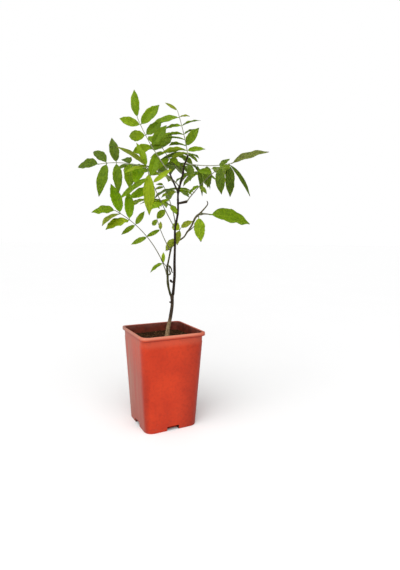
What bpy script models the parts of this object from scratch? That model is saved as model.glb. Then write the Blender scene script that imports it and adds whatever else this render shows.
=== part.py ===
"""Young feather-leaved sapling growing in a deep square nursery pot filled with compost.

Metres, +Z up. The origin is the centre of the pot's flat underside. +X runs along the pot's
front face and -Y looks out of it. Sizes are written in millimetres and scaled by MM, angles
in degrees.
"""

import random
from collections import namedtuple
from math import cos, pi, radians, sin

import bmesh
import bpy
from mathutils import Matrix, Vector
from mathutils.bvhtree import BVHTree

MM = 0.001
UP = Vector((0.0, 0.0, 1.0))
GAP = 0.3 * MM  # room left between pieces that meet

# ---- pot: injection-moulded, deep and square, tapering to its foot
RIM_SIDE = 105 * MM
POT_HEIGHT = 151.5 * MM
LIP_HEIGHT = 5.5 * MM
LIP_PROUD = 1.9 * MM
LIP_CORNER = 8 * MM
LIP_EASE = 0.8 * MM
BODY_SIDE_TOP = RIM_SIDE - 2 * LIP_PROUD
BODY_SIDE_FOOT = 86 * MM
BODY_CORNER = 13 * MM
FOOT_EASE = 1.2 * MM
WALL = 1.6 * MM
FLOOR = 2.2 * MM
NOTCH_WIDTH = 20 * MM
NOTCH_HEIGHT = 7 * MM
NOTCH_DEPTH = 9 * MM
CORNER_STEPS = 5

# ---- compost: fills the pot to a finger's breadth under the rim
SOIL_LEVEL = 137.3 * MM
SOIL_LUMP = 2.2 * MM
SOIL_RINGS = 6
SOIL_CALM = 9 * MM  # the surface is level this near the trunk
SOIL_ROUGH = 22 * MM  # and fully uneven from here on
SOIL_SEED = 4

# ---- limbs: stations of (x, y, height, girth) in millimetres from foot to tip
TRUNK = [
    (6.6, -2.4, 137.6, 9.8),
    (6.8, -2.5, 140.5, 7.8),
    (7.4, -2.8, 146.0, 6.8),
    (8.4, -3.4, 154.5, 6.2),
    (10.5, -4.5, 165.5, 5.6),
    (12.1, -5.3, 175.5, 5.4),
    (13.8, -6.2, 190.0, 5.0),
    (13.8, -6.2, 199.0, 5.2),
    (13.2, -5.9, 207.0, 6.6),
]
LEADER = [
    (15.0, -6.8, 207.4, 3.9),
    (16.2, -7.2, 222.0, 3.6),
    (17.1, -7.8, 238.0, 3.7),
    (16.6, -8.6, 260.0, 3.3),
    (16.7, -9.7, 284.0, 3.0),
    (16.7, -9.8, 311.0, 2.8),
    (19.2, -10.1, 323.0, 2.9),
    (21.5, -10.2, 340.0, 2.7),
    (21.3, -10.1, 360.0, 2.5),
    (22.3, -10.4, 371.0, 2.8),
    (25.5, -10.9, 382.0, 2.4),
    (29.2, -11.5, 397.0, 2.3),
    (31.0, -11.3, 408.0, 2.3),
    (37.9, -10.9, 424.6, 1.9),
]
SIDE_STEM = [
    (11.2, -4.8, 207.4, 3.3),
    (9.0, -3.7, 216.5, 2.9),
    (7.2, -3.9, 226.5, 3.5),
    (6.5, -4.6, 237.0, 2.7),
    (5.9, -4.3, 250.0, 3.1),
    (7.6, -3.9, 257.5, 2.4),
    (10.3, -2.1, 266.5, 2.2),
    (12.6, -1.0, 275.5, 2.2),
    (15.0, 0.2, 281.5, 2.1),
    (18.0, 0.7, 284.8, 2.0),
]
RIGHT_SHOOT = [
    (18.3, 0.8, 285.2, 2.0),
    (20.3, 0.6, 287.3, 2.0),
    (23.5, -2.2, 290.5, 1.9),
    (31.9, -10.0, 298.4, 1.9),
    (35.0, -14.5, 305.5, 1.9),
    (40.0, -20.9, 316.0, 2.2),
    (43.3, -27.2, 328.0, 2.5),
    (47.8, -34.0, 334.6, 2.0),
    (54.7, -43.3, 346.0, 1.4),
    (55.3, -44.8, 350.5, 1.2),
    (54.2, -44.1, 353.0, 1.0),
]
LIMB_STEPS = 2  # rings made from one station to the next

# A twig springs from a limb at a height, towards a compass heading (from +X towards +Y) and
# a climb above the level. It turns by sweep and bends by arch on its way.
Twig = namedtuple("Twig", "name limb height heading climb sweep arch length girth tip_girth")
TWIGS = [
    Twig("upper_left_twig", "leader", 367, 187, 60, 2, 2, 29, 2.3, 2.0),
    Twig("right_spur", "leader", 350.5, -50, 6, 0, 6, 13.5, 3.0, 3.6),
    Twig("shoot_spur", "right_shoot", 307, -5, 32, 0, 20, 15, 1.6, 0.9),
]
TWIG_STEPS = 6
TWIG_SIDES = 7

# ---- leaves: a stalk with leaflets in pairs and one at its end. A stalk springs like a
# twig, at the limb's tip where it has no height. A leaflet's lie is its angle out from the
# stalk in the leaf's plane, its lift out of that plane, its length and, where they aren't
# usual, its width as a share of the length and how far its face turns skyward. A pair is
# (millimetres back from the tip, left lie, right lie), either of which can be missing.
Leaf = namedtuple(
    "Leaf",
    "name limb height heading climb sweep arch length face skyward end pairs",
)
LEAVES = [
    Leaf("top_leaf", "leader", None, 130, 79, 0, -8, 71, (225, 5), 1.0,
         (39, 21, 23, 0.2, 0.2), [
        (11, (89, 26, 47, 0.28, 0.4), (90, -25, 17, 0.46)),
        (25, (79, 16, 29, 0.39, 0.5), (88, -1, 31, 0.28)),
        (39, (71, 9, 29, 0.44), (69, -22, 23, 0.35, 0.6)),
        (47, (63, -6, 41, 0.28), None),
        (57, (61, -16, 34, 0.48), (52, 11, 33, 0.41, 0.0)),
        (64, (77, 10, 41, 0.45), (100, 9, 30, 0.27, 0.2)),
        (68, (88, -12, 34, 0.43), None),
    ]),
    Leaf("upper_left_leaf", "upper_left_twig", None, 172, 49, -4, 17, 89, (225, 20), 0.0,
         (-15, -9, 42, 0.29), [
        (11, (49, -11, 38, 0.31), (65, -14, 42)),
        (27, (62, -32, 38, 0.38), (74, -26, 36)),
        (44, (75, -20, 36), (66, -10, 39)),
    ]),
    Leaf("left_leaf", "upper_left_twig", 383, 165, 32, -4, -44, 112, (240, 25), 0.0,
         (-27, -24, 44, 0.42), [
        (12, (65, -15, 51, 0.29), (67, -18, 50, 0.29)),
        (26, (90, -20, 44, 0.3), (83, 25, 38)),
        (46, (95, 0, 39, 0.42), (65, -35, 35, 0.4)),
        (62, (85, 15, 35, 0.44), None),
    ]),
    Leaf("front_leaf", "leader", 311, 205, 50, -42, 22, 101, (235, 40), 0.2,
         (40, 32, 53, 0.19, 0.4), [
        (1, (85, 12, 35, 0.31, 0.6), (-1, -4, 38, 0.27, 0.5)),
        (10, (162, -1, 62, 0.26), None),
        (17, (101, -1, 58, 0.15, 0.4), (41, -20, 46, 0.31, 0.0)),
        (26, None, (76, 13, 36, 0.2)),
        (34, (85, -28, 46, 0.28), None),
        (58, (80, 35, 25, 0.45, 0.6), None),
    ]),
    Leaf("lower_left_leaf", "side_stem", 236, 156, 72, -1, -44, 125, (240, 30), 0.1,
         (29, -11, 37, 0.46, 0.3), [
        (9, (74, 34, 48, 0.33, 1.0), (43, 11, 50, 0.34, 0.4)),
        (26, (62, 18, 43, 0.46, 0.6), (53, 1, 50, 0.28)),
        (38, (75, -13, 27, 0.27), (80, 10, 27, 0.31)),
        (64, (77, -7, 28, 0.27), None),
        (112, (99, -7, 25, 0.45, 0.7), (25, -19, 20, 0.28)),
    ]),
    Leaf("low_inner_leaf", "side_stem", 277, 185, 56, 1, 16, 52, (230, 30), 0.1,
         (-56, -35, 23, 0.44), [
        (1, (124, -28, 17, 0.42), None),
        (17, (99, -5, 27, 0.23), (22, 10, 13, 0.42)),
    ]),
    Leaf("inner_leaf", "leader", 317.5, 115, 76, 3, -19, 62, (235, 25), 0.4,
         (39, -18, 15, 0.41), [
        (3, (79, 6, 16, 0.28, 0.1), None),
        (17, (67, -30, 13, 0.45, 0.2), (85, -14, 15, 0.41, 0.1)),
        (27, (80, -10, 21), None),
        (37, None, (165, 28, 20, 0.45)),
    ]),
    Leaf("right_leaf", "right_spur", None, -50, 50, 2, -16, 71, (255, 35), 0.2,
         (110, -60, 58, 0.46, 0.6), [
        (1, (31, -25, 24, 0.44), (117, -4, 40, 0.28, 1.0)),
        (16, (121, -5, 33, 0.28), (170, -40, 30)),
        (42, (160, -9, 29, 0.42, 0.5), (81, 17, 21, 0.32, 0.5)),
    ]),
    Leaf("far_right_leaf", "leader", 412.5, -20, -9, 4, 23, 73, (250, 45), 0.2,
         (-5, 19, 61, 0.27, 0.0), [
        (4, None, (56, -34, 61, 0.15)),
        (5, None, (101, -41, 50, 0.22, 1.0)),
        (40, None, (91, -24, 36)),
        (55, None, (73, -30, 49, 0.14)),
        (67, (50, -35, 33), (85, -10, 32)),
    ]),
    Leaf("behind_leaf", "leader", 396, 120, 40, -2, 16, 61, (240, 35), 0.2,
         (10, -15, 40, 0.42), [
        (4, (52, -10, 30, 0.5), (42, -5, 40, 0.45)),
        (14, (70, -10, 26), (80, -17, 30, 0.4)),
        (26, (105, 0, 26, 0.4), (165, 12, 24, 0.4)),
    ]),
    Leaf("young_leaf", "right_shoot", 285.5, -30, 71, 0, -10, 26, (235, 35), 0.1,
         (-30, -5, 18), [
        (4, (80, -20, 21), (160, 7, 23)),
        (19, (160, 7, 26), None),
    ]),
    Leaf("broad_leaf", "right_shoot", 334, -27, 6, 0, -10, 18, (235, 40), 0.0,
         (5, -11, 66, 0.42), []),
    Leaf("hanging_leaf", "right_shoot", 331, -90, -40, 0, -50, 5, (240, 10), 0.0,
         (7, 20, 37, 0.44), []),
]

# The far side carries leaves of the usual make: name, height on the leader, heading, climb,
# length and the seed of their small differences.
FAR_LEAVES = [
    ("far_leaf_low", 334, 102, 40, 92, 11),
    ("far_leaf_middle", 356, 68, 40, 84, 30),
    ("far_leaf_left", 376, 128, 48, 86, 20),
    ("far_leaf_right", 382, 35, 40, 82, 50),
    ("far_leaf_upper", 398, 78, 40, 84, 40),
    ("far_leaf_top", 423, 76, 32, 74, 60),
]
FAR_SWEEP = 10
FAR_ARCH = -45
FAR_SKYWARD = 0.1
FAR_PAIRS = 4
FAR_FIRST_PAIR = 10  # millimetres back from the tip
FAR_STEP = 17
FAR_END_SIZE = 44
FAR_SHORTENING = 0.93  # from one pair to the next towards the foot
FAR_OUT = 66
FAR_LIFT = -14
FAR_SPREAD = 8  # by which single lies differ from the usual angles

STALK_STEPS = 8
STALK_SIDES = 5
STALK_GIRTH = 1.9 * MM
STALK_TIP_GIRTH = 1.2 * MM

BLADE_CURL = radians(30)  # that a leaflet bends through from foot to tip
BLADE_RISE = 0.25  # share of the leaflet on which it still rises
BLADE_WIDTH = 0.35
BLADE_THICKNESS = 0.8 * MM
BLADE_FOLD = 0.22  # height of the margins over the midrib, as a share of the half width
BLADE_STATIONS = (0.0, 0.12, 0.36, 0.64, 0.87)
BLADE_NECK = 0.06  # share of the leaflet that is its own short stalk
BLADE_NECK_WIDTH = 0.07
BLADE_FULLNESS = 3.1  # makes the widest place 1
BLADE_BELLY = 0.7  # power that draws the widest place towards the foot
BLADE_POINT = 0.95  # power that draws out the tip
BLADE_SUNK = 0.5 * MM
FREE_RING = 2  # from this ring on a leaflet has to be clear of its own leaf


def clear_scene():
    for thing in list(bpy.data.objects):
        bpy.data.objects.remove(thing, do_unlink=True)


def material(name, colour, roughness):
    made = bpy.data.materials.new(name)
    made.use_nodes = True
    shader = made.node_tree.nodes["Principled BSDF"]
    shader.inputs["Base Color"].default_value = (*colour, 1.0)
    shader.inputs["Roughness"].default_value = roughness
    shader.inputs["Metallic"].default_value = 0.0
    return made


def add_object(name, shape, finish, place=(0.0, 0.0, 0.0), parent=None, smooth=False):
    """A new object from a bmesh whose points are in world space, with its origin at place."""
    bmesh.ops.recalc_face_normals(shape, faces=shape.faces)
    mesh = bpy.data.meshes.new(name)
    shape.to_mesh(mesh)
    shape.free()
    mesh.transform(Matrix.Translation(-Vector(place)))
    mesh.materials.append(finish)
    if smooth:
        mesh.shade_smooth()
        mesh.set_sharp_from_angle(angle=radians(40))
    made = bpy.data.objects.new(name, mesh)
    made.location = place
    made.parent = parent
    bpy.context.scene.collection.objects.link(made)
    return made


# ---------------------------------------------------------------- pot and compost


def square_loop(shape, side, corner, height):
    """One level ring of a square with round corners."""
    reach = side / 2 - corner
    loop = []
    for quarter in range(4):
        turn = Matrix.Rotation(quarter * pi / 2, 3, "Z")
        middle = turn @ Vector((reach, reach, 0.0))
        for step in range(CORNER_STEPS + 1):
            angle = quarter * pi / 2 + step / CORNER_STEPS * pi / 2
            point = middle + corner * Vector((cos(angle), sin(angle), 0.0))
            loop.append(shape.verts.new((point.x, point.y, height)))
    return loop


def join_loops(shape, loops):
    """Faces between each loop and the next, all with the same count of points."""
    for low, high in zip(loops, loops[1:]):
        count = len(low)
        for i in range(count):
            j = (i + 1) % count
            shape.faces.new((low[i], low[j], high[j], high[i]))


def body_side(height):
    """Outer width of the pot's body at a height."""
    share = height / (POT_HEIGHT - LIP_HEIGHT)
    return BODY_SIDE_FOOT + (BODY_SIDE_TOP - BODY_SIDE_FOOT) * share


def inner_side(height):
    """Width between the pot's inner walls at a height."""
    foot = body_side(FLOOR) - 2 * WALL
    mouth = BODY_SIDE_TOP - 2 * WALL
    return foot + (mouth - foot) * (height - FLOOR) / (POT_HEIGHT - FLOOR)


def make_pot(finish, parent):
    shape = bmesh.new()
    lip_foot = POT_HEIGHT - LIP_HEIGHT
    inner_corner = BODY_CORNER - WALL
    loops = [
        square_loop(shape, BODY_SIDE_FOOT - 2 * FOOT_EASE, BODY_CORNER - FOOT_EASE, 0.0),
        square_loop(shape, body_side(FOOT_EASE), BODY_CORNER, FOOT_EASE),
        square_loop(shape, body_side(lip_foot), BODY_CORNER, lip_foot),
        square_loop(shape, RIM_SIDE, LIP_CORNER, lip_foot + LIP_EASE / 2),
        square_loop(shape, RIM_SIDE, LIP_CORNER, POT_HEIGHT - LIP_EASE),
        square_loop(shape, RIM_SIDE - 2 * LIP_EASE, LIP_CORNER, POT_HEIGHT),
        square_loop(shape, inner_side(POT_HEIGHT), inner_corner, POT_HEIGHT),
        square_loop(shape, inner_side(FLOOR), inner_corner, FLOOR),
    ]
    join_loops(shape, loops)
    shape.faces.new(loops[0])
    shape.faces.new(loops[-1])
    return add_object("pot", shape, finish, parent=parent, smooth=True)


def soil_height(point, foot, chance):
    """The compost lies level round the trunk and in loose lumps farther out."""
    away = ((point - foot).length - SOIL_CALM) / (SOIL_ROUGH - SOIL_CALM)
    return SOIL_LEVEL + chance.uniform(-1.2, 0.8) * SOIL_LUMP * min(max(away, 0.0), 1.0)


def make_compost(finish, parent):
    shape = bmesh.new()
    chance = random.Random(SOIL_SEED)
    corner = BODY_CORNER - WALL - GAP
    floor = FLOOR + GAP
    edge = SOIL_LEVEL - SOIL_LUMP
    loops = [
        square_loop(shape, inner_side(floor) - 2 * GAP, corner, floor),
        square_loop(shape, inner_side(edge) - 2 * GAP, corner, edge),
    ]
    foot = Vector((TRUNK[0][0] * MM, TRUNK[0][1] * MM, edge))
    for ring in range(1, SOIL_RINGS):
        loop = []
        for outer in loops[1]:
            point = outer.co.lerp(foot, ring / SOIL_RINGS)
            point.z = soil_height(point, foot, chance)
            loop.append(shape.verts.new(point))
        loops.append(loop)
    join_loops(shape, loops)
    shape.faces.new(loops[0])
    shape.faces.new(loops[-1])
    return add_object("compost", shape, finish, parent=parent)


def cut_notches(pieces, finish, parent):
    """A drain notch in the middle of each side's foot, through wall and floor edge."""
    for side in range(4):
        turn = Matrix.Rotation(side * pi / 2, 4, "Z")
        size = Matrix.Diagonal((NOTCH_WIDTH, NOTCH_DEPTH * 2, NOTCH_HEIGHT * 2, 1.0))
        out = Matrix.Translation((0.0, -BODY_SIDE_FOOT / 2, 0.0))
        shape = bmesh.new()
        bmesh.ops.create_cube(shape, size=1.0, matrix=turn @ out @ size)
        cutter = add_object(f"notch_cutter_{side + 1}", shape, finish, parent=parent)
        cutter.hide_render = True
        cutter.display_type = "WIRE"
        for piece in pieces:
            cut = piece.modifiers.new(f"notch_{side + 1}", "BOOLEAN")
            cut.operation = "DIFFERENCE"
            cut.object = cutter


# ---------------------------------------------------------------- limbs


def aim(heading, climb):
    h, c = radians(heading), radians(climb)
    return Vector((cos(h) * cos(c), sin(h) * cos(c), sin(c)))


def square_to(vector, axis):
    return (vector - axis * vector.dot(axis)).normalized()


def turned(vector, axis, angle):
    return Matrix.Rotation(radians(angle), 3, axis) @ vector


def between(stations):
    """Smooth rows (x, y, z, girth) through the stations, by Catmull-Rom."""
    ends = [stations[0], *stations, stations[-1]]
    rows = []
    for a, b, c, d in zip(ends, ends[1:], ends[2:], ends[3:]):
        for step in range(LIMB_STEPS):
            t = step / LIMB_STEPS
            rows.append([
                q + t / 2 * (r - p + t * (2 * p - 5 * q + 4 * r - s + t * (3 * (q - r) + s - p)))
                for p, q, r, s in zip(a, b, c, d)
            ])
    return [*rows, stations[-1]]


def arc(foot, shoot, steps):
    """Points of a shoot that turns by sweep and bends by arch on its way."""
    points = [foot]
    for step in range(steps):
        t = (step + 0.5) / steps
        way = aim(shoot.heading + shoot.sweep * t, shoot.climb + shoot.arch * t)
        points.append(points[-1] + way * shoot.length * MM / steps)
    return points


def tube(points, girths, sides, level_foot=False):
    """A closed tapering tube through the points, its rings square to its run."""
    shape = bmesh.new()
    runs = [(b - a).normalized() for a, b in zip(points, points[1:])]
    ways = [runs[0]] + [(a + b).normalized() for a, b in zip(runs, runs[1:])] + [runs[-1]]
    if level_foot:
        ways[0] = UP.copy()
    out = ways[0].orthogonal()
    loops = []
    for at, way, girth in zip(points, ways, girths):
        out = square_to(out, way)
        beside = way.cross(out)
        angles = [2 * pi * i / sides for i in range(sides)]
        ring = [at + girth / 2 * (out * cos(a) + beside * sin(a)) for a in angles]
        loops.append([shape.verts.new(point) for point in ring])
    join_loops(shape, loops)
    shape.faces.new(loops[0])
    shape.faces.new(loops[-1])
    return shape


class Limb:
    """A limb's centre line and girths, so that shoots can spring from it."""

    def __init__(self, points, girths):
        self.points = points
        self.girths = girths

    def at(self, height):
        """Centre, way and girth at a height, or at the tip where the height is None."""
        points, girths = self.points, self.girths
        if height is None:
            return points[-1], (points[-1] - points[-2]).normalized(), girths[-1]
        i = next(i for i in range(len(points)) if points[i + 1].z >= height * MM)
        share = (height * MM - points[i].z) / (points[i + 1].z - points[i].z)
        way = (points[i + 1] - points[i]).normalized()
        return points[i].lerp(points[i + 1], share), way, girths[i] * (1 - share) + girths[i + 1] * share


def springing_point(limb, shoot, girth):
    """Where the flat foot of a shoot sits, just clear of the limb that carries it."""
    centre, run, limb_girth = limb.at(shoot.height)
    way = aim(shoot.heading, shoot.climb)
    along = abs(way.dot(run))
    square = (1 - along * along) ** 0.5
    if shoot.height is None:
        return centre + way * (GAP + (limb_girth + girth) / 2 * square)
    return centre + way * (GAP + limb_girth / 2 + girth / 2 * along) / square


def make_limb(name, stations, sides, finish, parent, level_foot=False):
    rows = between(stations)
    points = [Vector(row[:3]) * MM for row in rows]
    girths = [row[3] * MM for row in rows]
    shape = tube(points, girths, sides, level_foot)
    add_object(name, shape, finish, points[0], parent, smooth=True)
    return Limb(points, girths)


def make_twig(twig, limbs, finish, parent):
    foot = springing_point(limbs[twig.limb], twig, twig.girth * MM)
    points = arc(foot, twig, TWIG_STEPS)
    taper = (twig.tip_girth - twig.girth) / TWIG_STEPS
    girths = [(twig.girth + taper * i) * MM for i in range(TWIG_STEPS + 1)]
    shape = tube(points, girths, TWIG_SIDES)
    add_object(twig.name, shape, finish, foot, parent, smooth=True)
    return Limb(points, girths)


# ---------------------------------------------------------------- leaves


def usual_leaf(name, height, heading, climb, length, seed):
    """A leaf whose leaflets shorten evenly from the tip, its face turned up and outward."""
    chance = random.Random(seed)

    def lie(size):
        out = FAR_OUT + chance.uniform(-FAR_SPREAD, FAR_SPREAD)
        return out, FAR_LIFT + chance.uniform(-FAR_SPREAD, FAR_SPREAD), size

    sizes = [FAR_END_SIZE * FAR_SHORTENING ** (pair + 1) for pair in range(FAR_PAIRS)]
    pairs = [
        (FAR_FIRST_PAIR + FAR_STEP * pair, lie(size), lie(size))
        for pair, size in enumerate(sizes)
    ]
    end = (chance.uniform(-FAR_SPREAD, FAR_SPREAD), FAR_LIFT, FAR_END_SIZE)
    face = (heading + 180, 90 - climb - FAR_ARCH / 2)
    return Leaf(
        name, "leader", height, heading, climb, FAR_SWEEP, FAR_ARCH, length, face, FAR_SKYWARD,
        end, pairs,
    )


def blade_outline(share):
    """Half width of a blade at a share of its length: full near the foot, drawn to a point."""
    grown = max(share - BLADE_NECK, 0.0) / (1 - BLADE_NECK)
    width = BLADE_FULLNESS * grown**BLADE_BELLY * (1 - grown) ** BLADE_POINT
    return max(BLADE_NECK_WIDTH, width)


def midrib(foot, way, face, length, share):
    """The point and the upward way on a leaflet's midrib, which rises and then bends down."""
    start = BLADE_CURL * BLADE_RISE
    angle = start - BLADE_CURL * share
    along = (sin(start) - sin(angle)) / BLADE_CURL
    over = (cos(angle) - cos(start)) / BLADE_CURL
    point = foot + (way * along + face * over) * length
    return point, face * cos(angle) - way * sin(angle)


def blade(foot, way, face, length, width, spare=0.0):
    """One leaflet: a folded blade with a lens section on a short stalk of its own."""
    shape = bmesh.new()
    beside = way.cross(face)
    loops = []
    for share in BLADE_STATIONS:
        half = width * length / 2 * blade_outline(share)
        centre, lift = midrib(foot, way, face, length, share)
        wide = beside * (half + spare)
        margin = lift * half * BLADE_FOLD
        thick = lift * (BLADE_THICKNESS / 2 + spare)
        ring = (centre - wide + margin, centre - thick, centre + wide + margin, centre + thick)
        loops.append([shape.verts.new(point) for point in ring])
    join_loops(shape, loops)
    shape.faces.new(loops[0])
    tip = shape.verts.new(midrib(foot, way, face, length, 1.0)[0])
    for i in range(4):
        shape.faces.new((loops[-1][i], loops[-1][(i + 1) % 4], tip))
    return shape


def room_of(shape, first_ring=0):
    """The space a shape takes, or a blade from one of its rings on, to find what touches."""
    part = shape.copy()
    if first_ring:
        part.verts.ensure_lookup_table()
        bmesh.ops.delete(part, geom=part.verts[: 4 * first_ring], context="VERTS")
    room = BVHTree.FromBMesh(part)
    part.free()
    return room


def clear_of(taken, owner, whole, free):
    """Whether a leaflet keeps off everything, its own leaf at its foot apart."""
    return not any(
        free.overlap(free_room) if name == owner else whole.overlap(room)
        for name, room, free_room in taken
    )


def grow_stalk(leaf, limbs, taken, finish, parent):
    foot = springing_point(limbs[leaf.limb], leaf, STALK_GIRTH)
    points = arc(foot, leaf, STALK_STEPS)
    taper = (STALK_TIP_GIRTH - STALK_GIRTH) / STALK_STEPS
    girths = [STALK_GIRTH + taper * i for i in range(STALK_STEPS + 1)]
    shape = tube(points, girths, STALK_SIDES)
    room = room_of(shape)
    taken.append((leaf.name, room, room))
    return add_object(leaf.name, shape, finish, foot, parent), points


def leaflet_lies(leaf):
    """(millimetres back from the tip, side, lie) of each leaflet."""
    lies = [(0, 1, leaf.end)]
    for back, left, right in leaf.pairs:
        lies += [(back, side, lie) for side, lie in ((1, left), (-1, right)) if lie]
    return lies


def leaflet_place(leaf, points, back, side, out, lift, size, width=BLADE_WIDTH, skyward=None):
    """Foot, way, face, length and width of one leaflet on its stalk's points."""
    place = (1 - back / leaf.length) * STALK_STEPS
    step = min(int(place), STALK_STEPS - 1)
    run = (points[step + 1] - points[step]).normalized()
    face = square_to(aim(*leaf.face), run)
    way = turned(run, face, side * out)
    way = turned(way, way.cross(face), lift)
    skyward = leaf.skyward if skyward is None else skyward
    foot = points[step].lerp(points[step + 1], place - step) - way * BLADE_SUNK
    return foot, way, square_to(face.lerp(UP, skyward), way), size * MM, width


def grow_leaflets(leaf, stalk, points, taken, finish):
    """Fuses on each leaflet that has room; one that would touch anything is left out."""
    fused = bpy.data.collections.new(leaf.name + "_leaflets")
    bpy.context.scene.collection.children.link(fused)
    for back, side, lie in leaflet_lies(leaf):
        place = leaflet_place(leaf, points, back, side, *lie)
        shape = blade(*place, spare=GAP)
        whole, free = room_of(shape), room_of(shape, FREE_RING)
        shape.free()
        if clear_of(taken, leaf.name, whole, free):
            taken.append((leaf.name, whole, free))
            leaflet = add_object(leaf.name + "_leaflet", blade(*place), finish)
            bpy.context.scene.collection.objects.unlink(leaflet)
            fused.objects.link(leaflet)
    fuse(stalk, fused)


def fuse(stalk, fused):
    """One union joins the stalk and its leaflets, and the loose leaflets are removed."""
    union = stalk.modifiers.new("fuse", "BOOLEAN")
    union.operation = "UNION"
    union.operand_type = "COLLECTION"
    union.collection = fused
    union.solver = "EXACT"
    bpy.context.view_layer.objects.active = stalk
    bpy.ops.object.modifier_apply(modifier=union.name)
    for leaflet in list(fused.objects):
        bpy.data.objects.remove(leaflet, do_unlink=True)
    bpy.data.collections.remove(fused)
    keep_largest_body(stalk)


def keep_largest_body(thing):
    """Drops what a union can leave beside the fused body: a scrap, or the skin of a hollow."""
    shape = bmesh.new()
    shape.from_mesh(thing.data)
    left = set(shape.verts)
    bodies = []
    while left:
        body = {left.pop()}
        front = list(body)
        while front:
            point = front.pop()
            near = {edge.other_vert(point) for edge in point.link_edges} & left
            left -= near
            body |= near
            front += near
        bodies.append(body)
    bodies.sort(key=len)
    for body in bodies[:-1]:
        bmesh.ops.delete(shape, geom=list(body), context="VERTS")
    shape.to_mesh(thing.data)
    shape.free()


clear_scene()
plastic = material("orange_red_plastic", (0.55, 0.09, 0.04), 0.45)
soil = material("compost", (0.035, 0.016, 0.010), 0.95)
bark = material("bark", (0.10, 0.065, 0.035), 0.8)
green = material("leaf", (0.16, 0.30, 0.03), 0.5)

root = bpy.data.objects.new("potted_sapling", None)
bpy.context.scene.collection.objects.link(root)
pot = make_pot(plastic, root)
compost = make_compost(soil, root)
cut_notches([pot, compost], plastic, root)

limbs = {
    "trunk": make_limb("trunk", TRUNK, 12, bark, root, level_foot=True),
    "leader": make_limb("leader", LEADER, 8, bark, root),
    "side_stem": make_limb("side_stem", SIDE_STEM, 8, bark, root),
    "right_shoot": make_limb("right_shoot", RIGHT_SHOOT, 6, bark, root),
}
for twig in TWIGS:
    limbs[twig.name] = make_twig(twig, limbs, bark, root)

bpy.context.view_layer.update()
taken = []
for name in limbs:
    skin = bmesh.new()
    skin.from_mesh(bpy.data.objects[name].data)
    skin.transform(bpy.data.objects[name].matrix_world)
    room = room_of(skin)
    taken.append((name, room, room))
    skin.free()

leaves = LEAVES + [usual_leaf(*row) for row in FAR_LEAVES]
stalks = [grow_stalk(leaf, limbs, taken, green, root) for leaf in leaves]
for leaf, (stalk, points) in zip(leaves, stalks):
    grow_leaflets(leaf, stalk, points, taken, green)
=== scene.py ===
"""Finishes for a young feather-leaved tree in a deep square nursery pot.

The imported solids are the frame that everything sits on. Lengths are metres, written as
millimetres times MM, but the tables of limbs and leaves hold plain millimetres and degrees.
The pot's front looks along -Y, and +Z is up.
"""

import random
from collections import namedtuple
from math import cos, exp, pi, radians, sin

import bmesh
import bpy
from mathutils import Matrix, Vector, noise


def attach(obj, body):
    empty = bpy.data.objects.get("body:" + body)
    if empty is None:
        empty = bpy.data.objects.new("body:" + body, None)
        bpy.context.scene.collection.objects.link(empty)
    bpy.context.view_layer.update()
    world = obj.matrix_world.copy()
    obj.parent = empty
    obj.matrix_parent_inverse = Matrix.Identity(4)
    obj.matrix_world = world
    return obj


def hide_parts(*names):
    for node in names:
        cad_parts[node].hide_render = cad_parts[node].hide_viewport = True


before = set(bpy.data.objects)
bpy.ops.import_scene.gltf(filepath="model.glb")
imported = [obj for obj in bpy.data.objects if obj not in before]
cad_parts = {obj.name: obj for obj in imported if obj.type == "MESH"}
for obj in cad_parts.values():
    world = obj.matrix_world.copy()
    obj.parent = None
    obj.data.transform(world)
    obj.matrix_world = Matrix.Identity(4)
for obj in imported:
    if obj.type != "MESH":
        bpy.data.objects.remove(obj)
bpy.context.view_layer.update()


# ---------------------------------------------------------------- pot
# A deep square nursery pot, moulded in one piece from orange-red polypropylene. The skin goes
# up the outside, over a stiff lip and down the inside, and each side has a drain notch at its
# foot. Its left wall is pale pink in streaks, a painted sheen of the bright surround, and the
# inside is darkened partly by stain from wet compost and partly by painted shade. The outside
# has painted shade towards its right side, its bottom, its front-left corner and the back of
# the lip, a painted shadow just under the lip, a painted highlight in a band below that, and a
# lip that is paler partly from wear and partly as a painted highlight.

MM = 0.001
RIM_SIDE = 105 * MM
POT_HEIGHT = 151.5 * MM
LIP_FOOT = POT_HEIGHT - 5.5 * MM
LIP_PROUD = 1.2 * MM
LIP_CORNER = 8 * MM
LIP_EASE = 0.8 * MM
BODY_SIDE_TOP = RIM_SIDE - 2 * LIP_PROUD
BODY_SIDE_FOOT = 86 * MM
BODY_CORNER = 13 * MM
FOOT_EASE = 1.2 * MM
WALL = 1.6 * MM
POT_FLOOR = 2.2 * MM
MOUTH_SIDE = BODY_SIDE_TOP - 2 * WALL
INSIDE_SIDE_FOOT = BODY_SIDE_FOOT + (BODY_SIDE_TOP - BODY_SIDE_FOOT) * POT_FLOOR / LIP_FOOT - 2 * WALL
INSIDE_CORNER = BODY_CORNER - WALL
CORNER_STEPS = 8
EASE_STEPS = 3
NECK_FOOT = 136.5 * MM  # the wall steps in a little under the lip
NECK_SLOPE = 1.6 * MM
NECK_DEPTH = 0.5 * MM
WALL_CUTS = 9  # rows and columns that let the walls bow
CUTS_SPREAD = 0.8  # the share of the foot's side that the columns take up
WALL_BOW = 0.7 * MM
BOW_WAVER = 0.35  # how much the bow varies over a wall
NOTCH_SIZE = (20 * MM, 18 * MM, 14 * MM)
NOTCH_ROUND = 1.0 * MM
NOTCH_STEPS = 2


def alone(thing):
    """Makes a piece the active one and the only one selected."""
    bpy.ops.object.select_all(action="DESELECT")
    thing.select_set(True)
    bpy.context.view_layer.objects.active = thing


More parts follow.
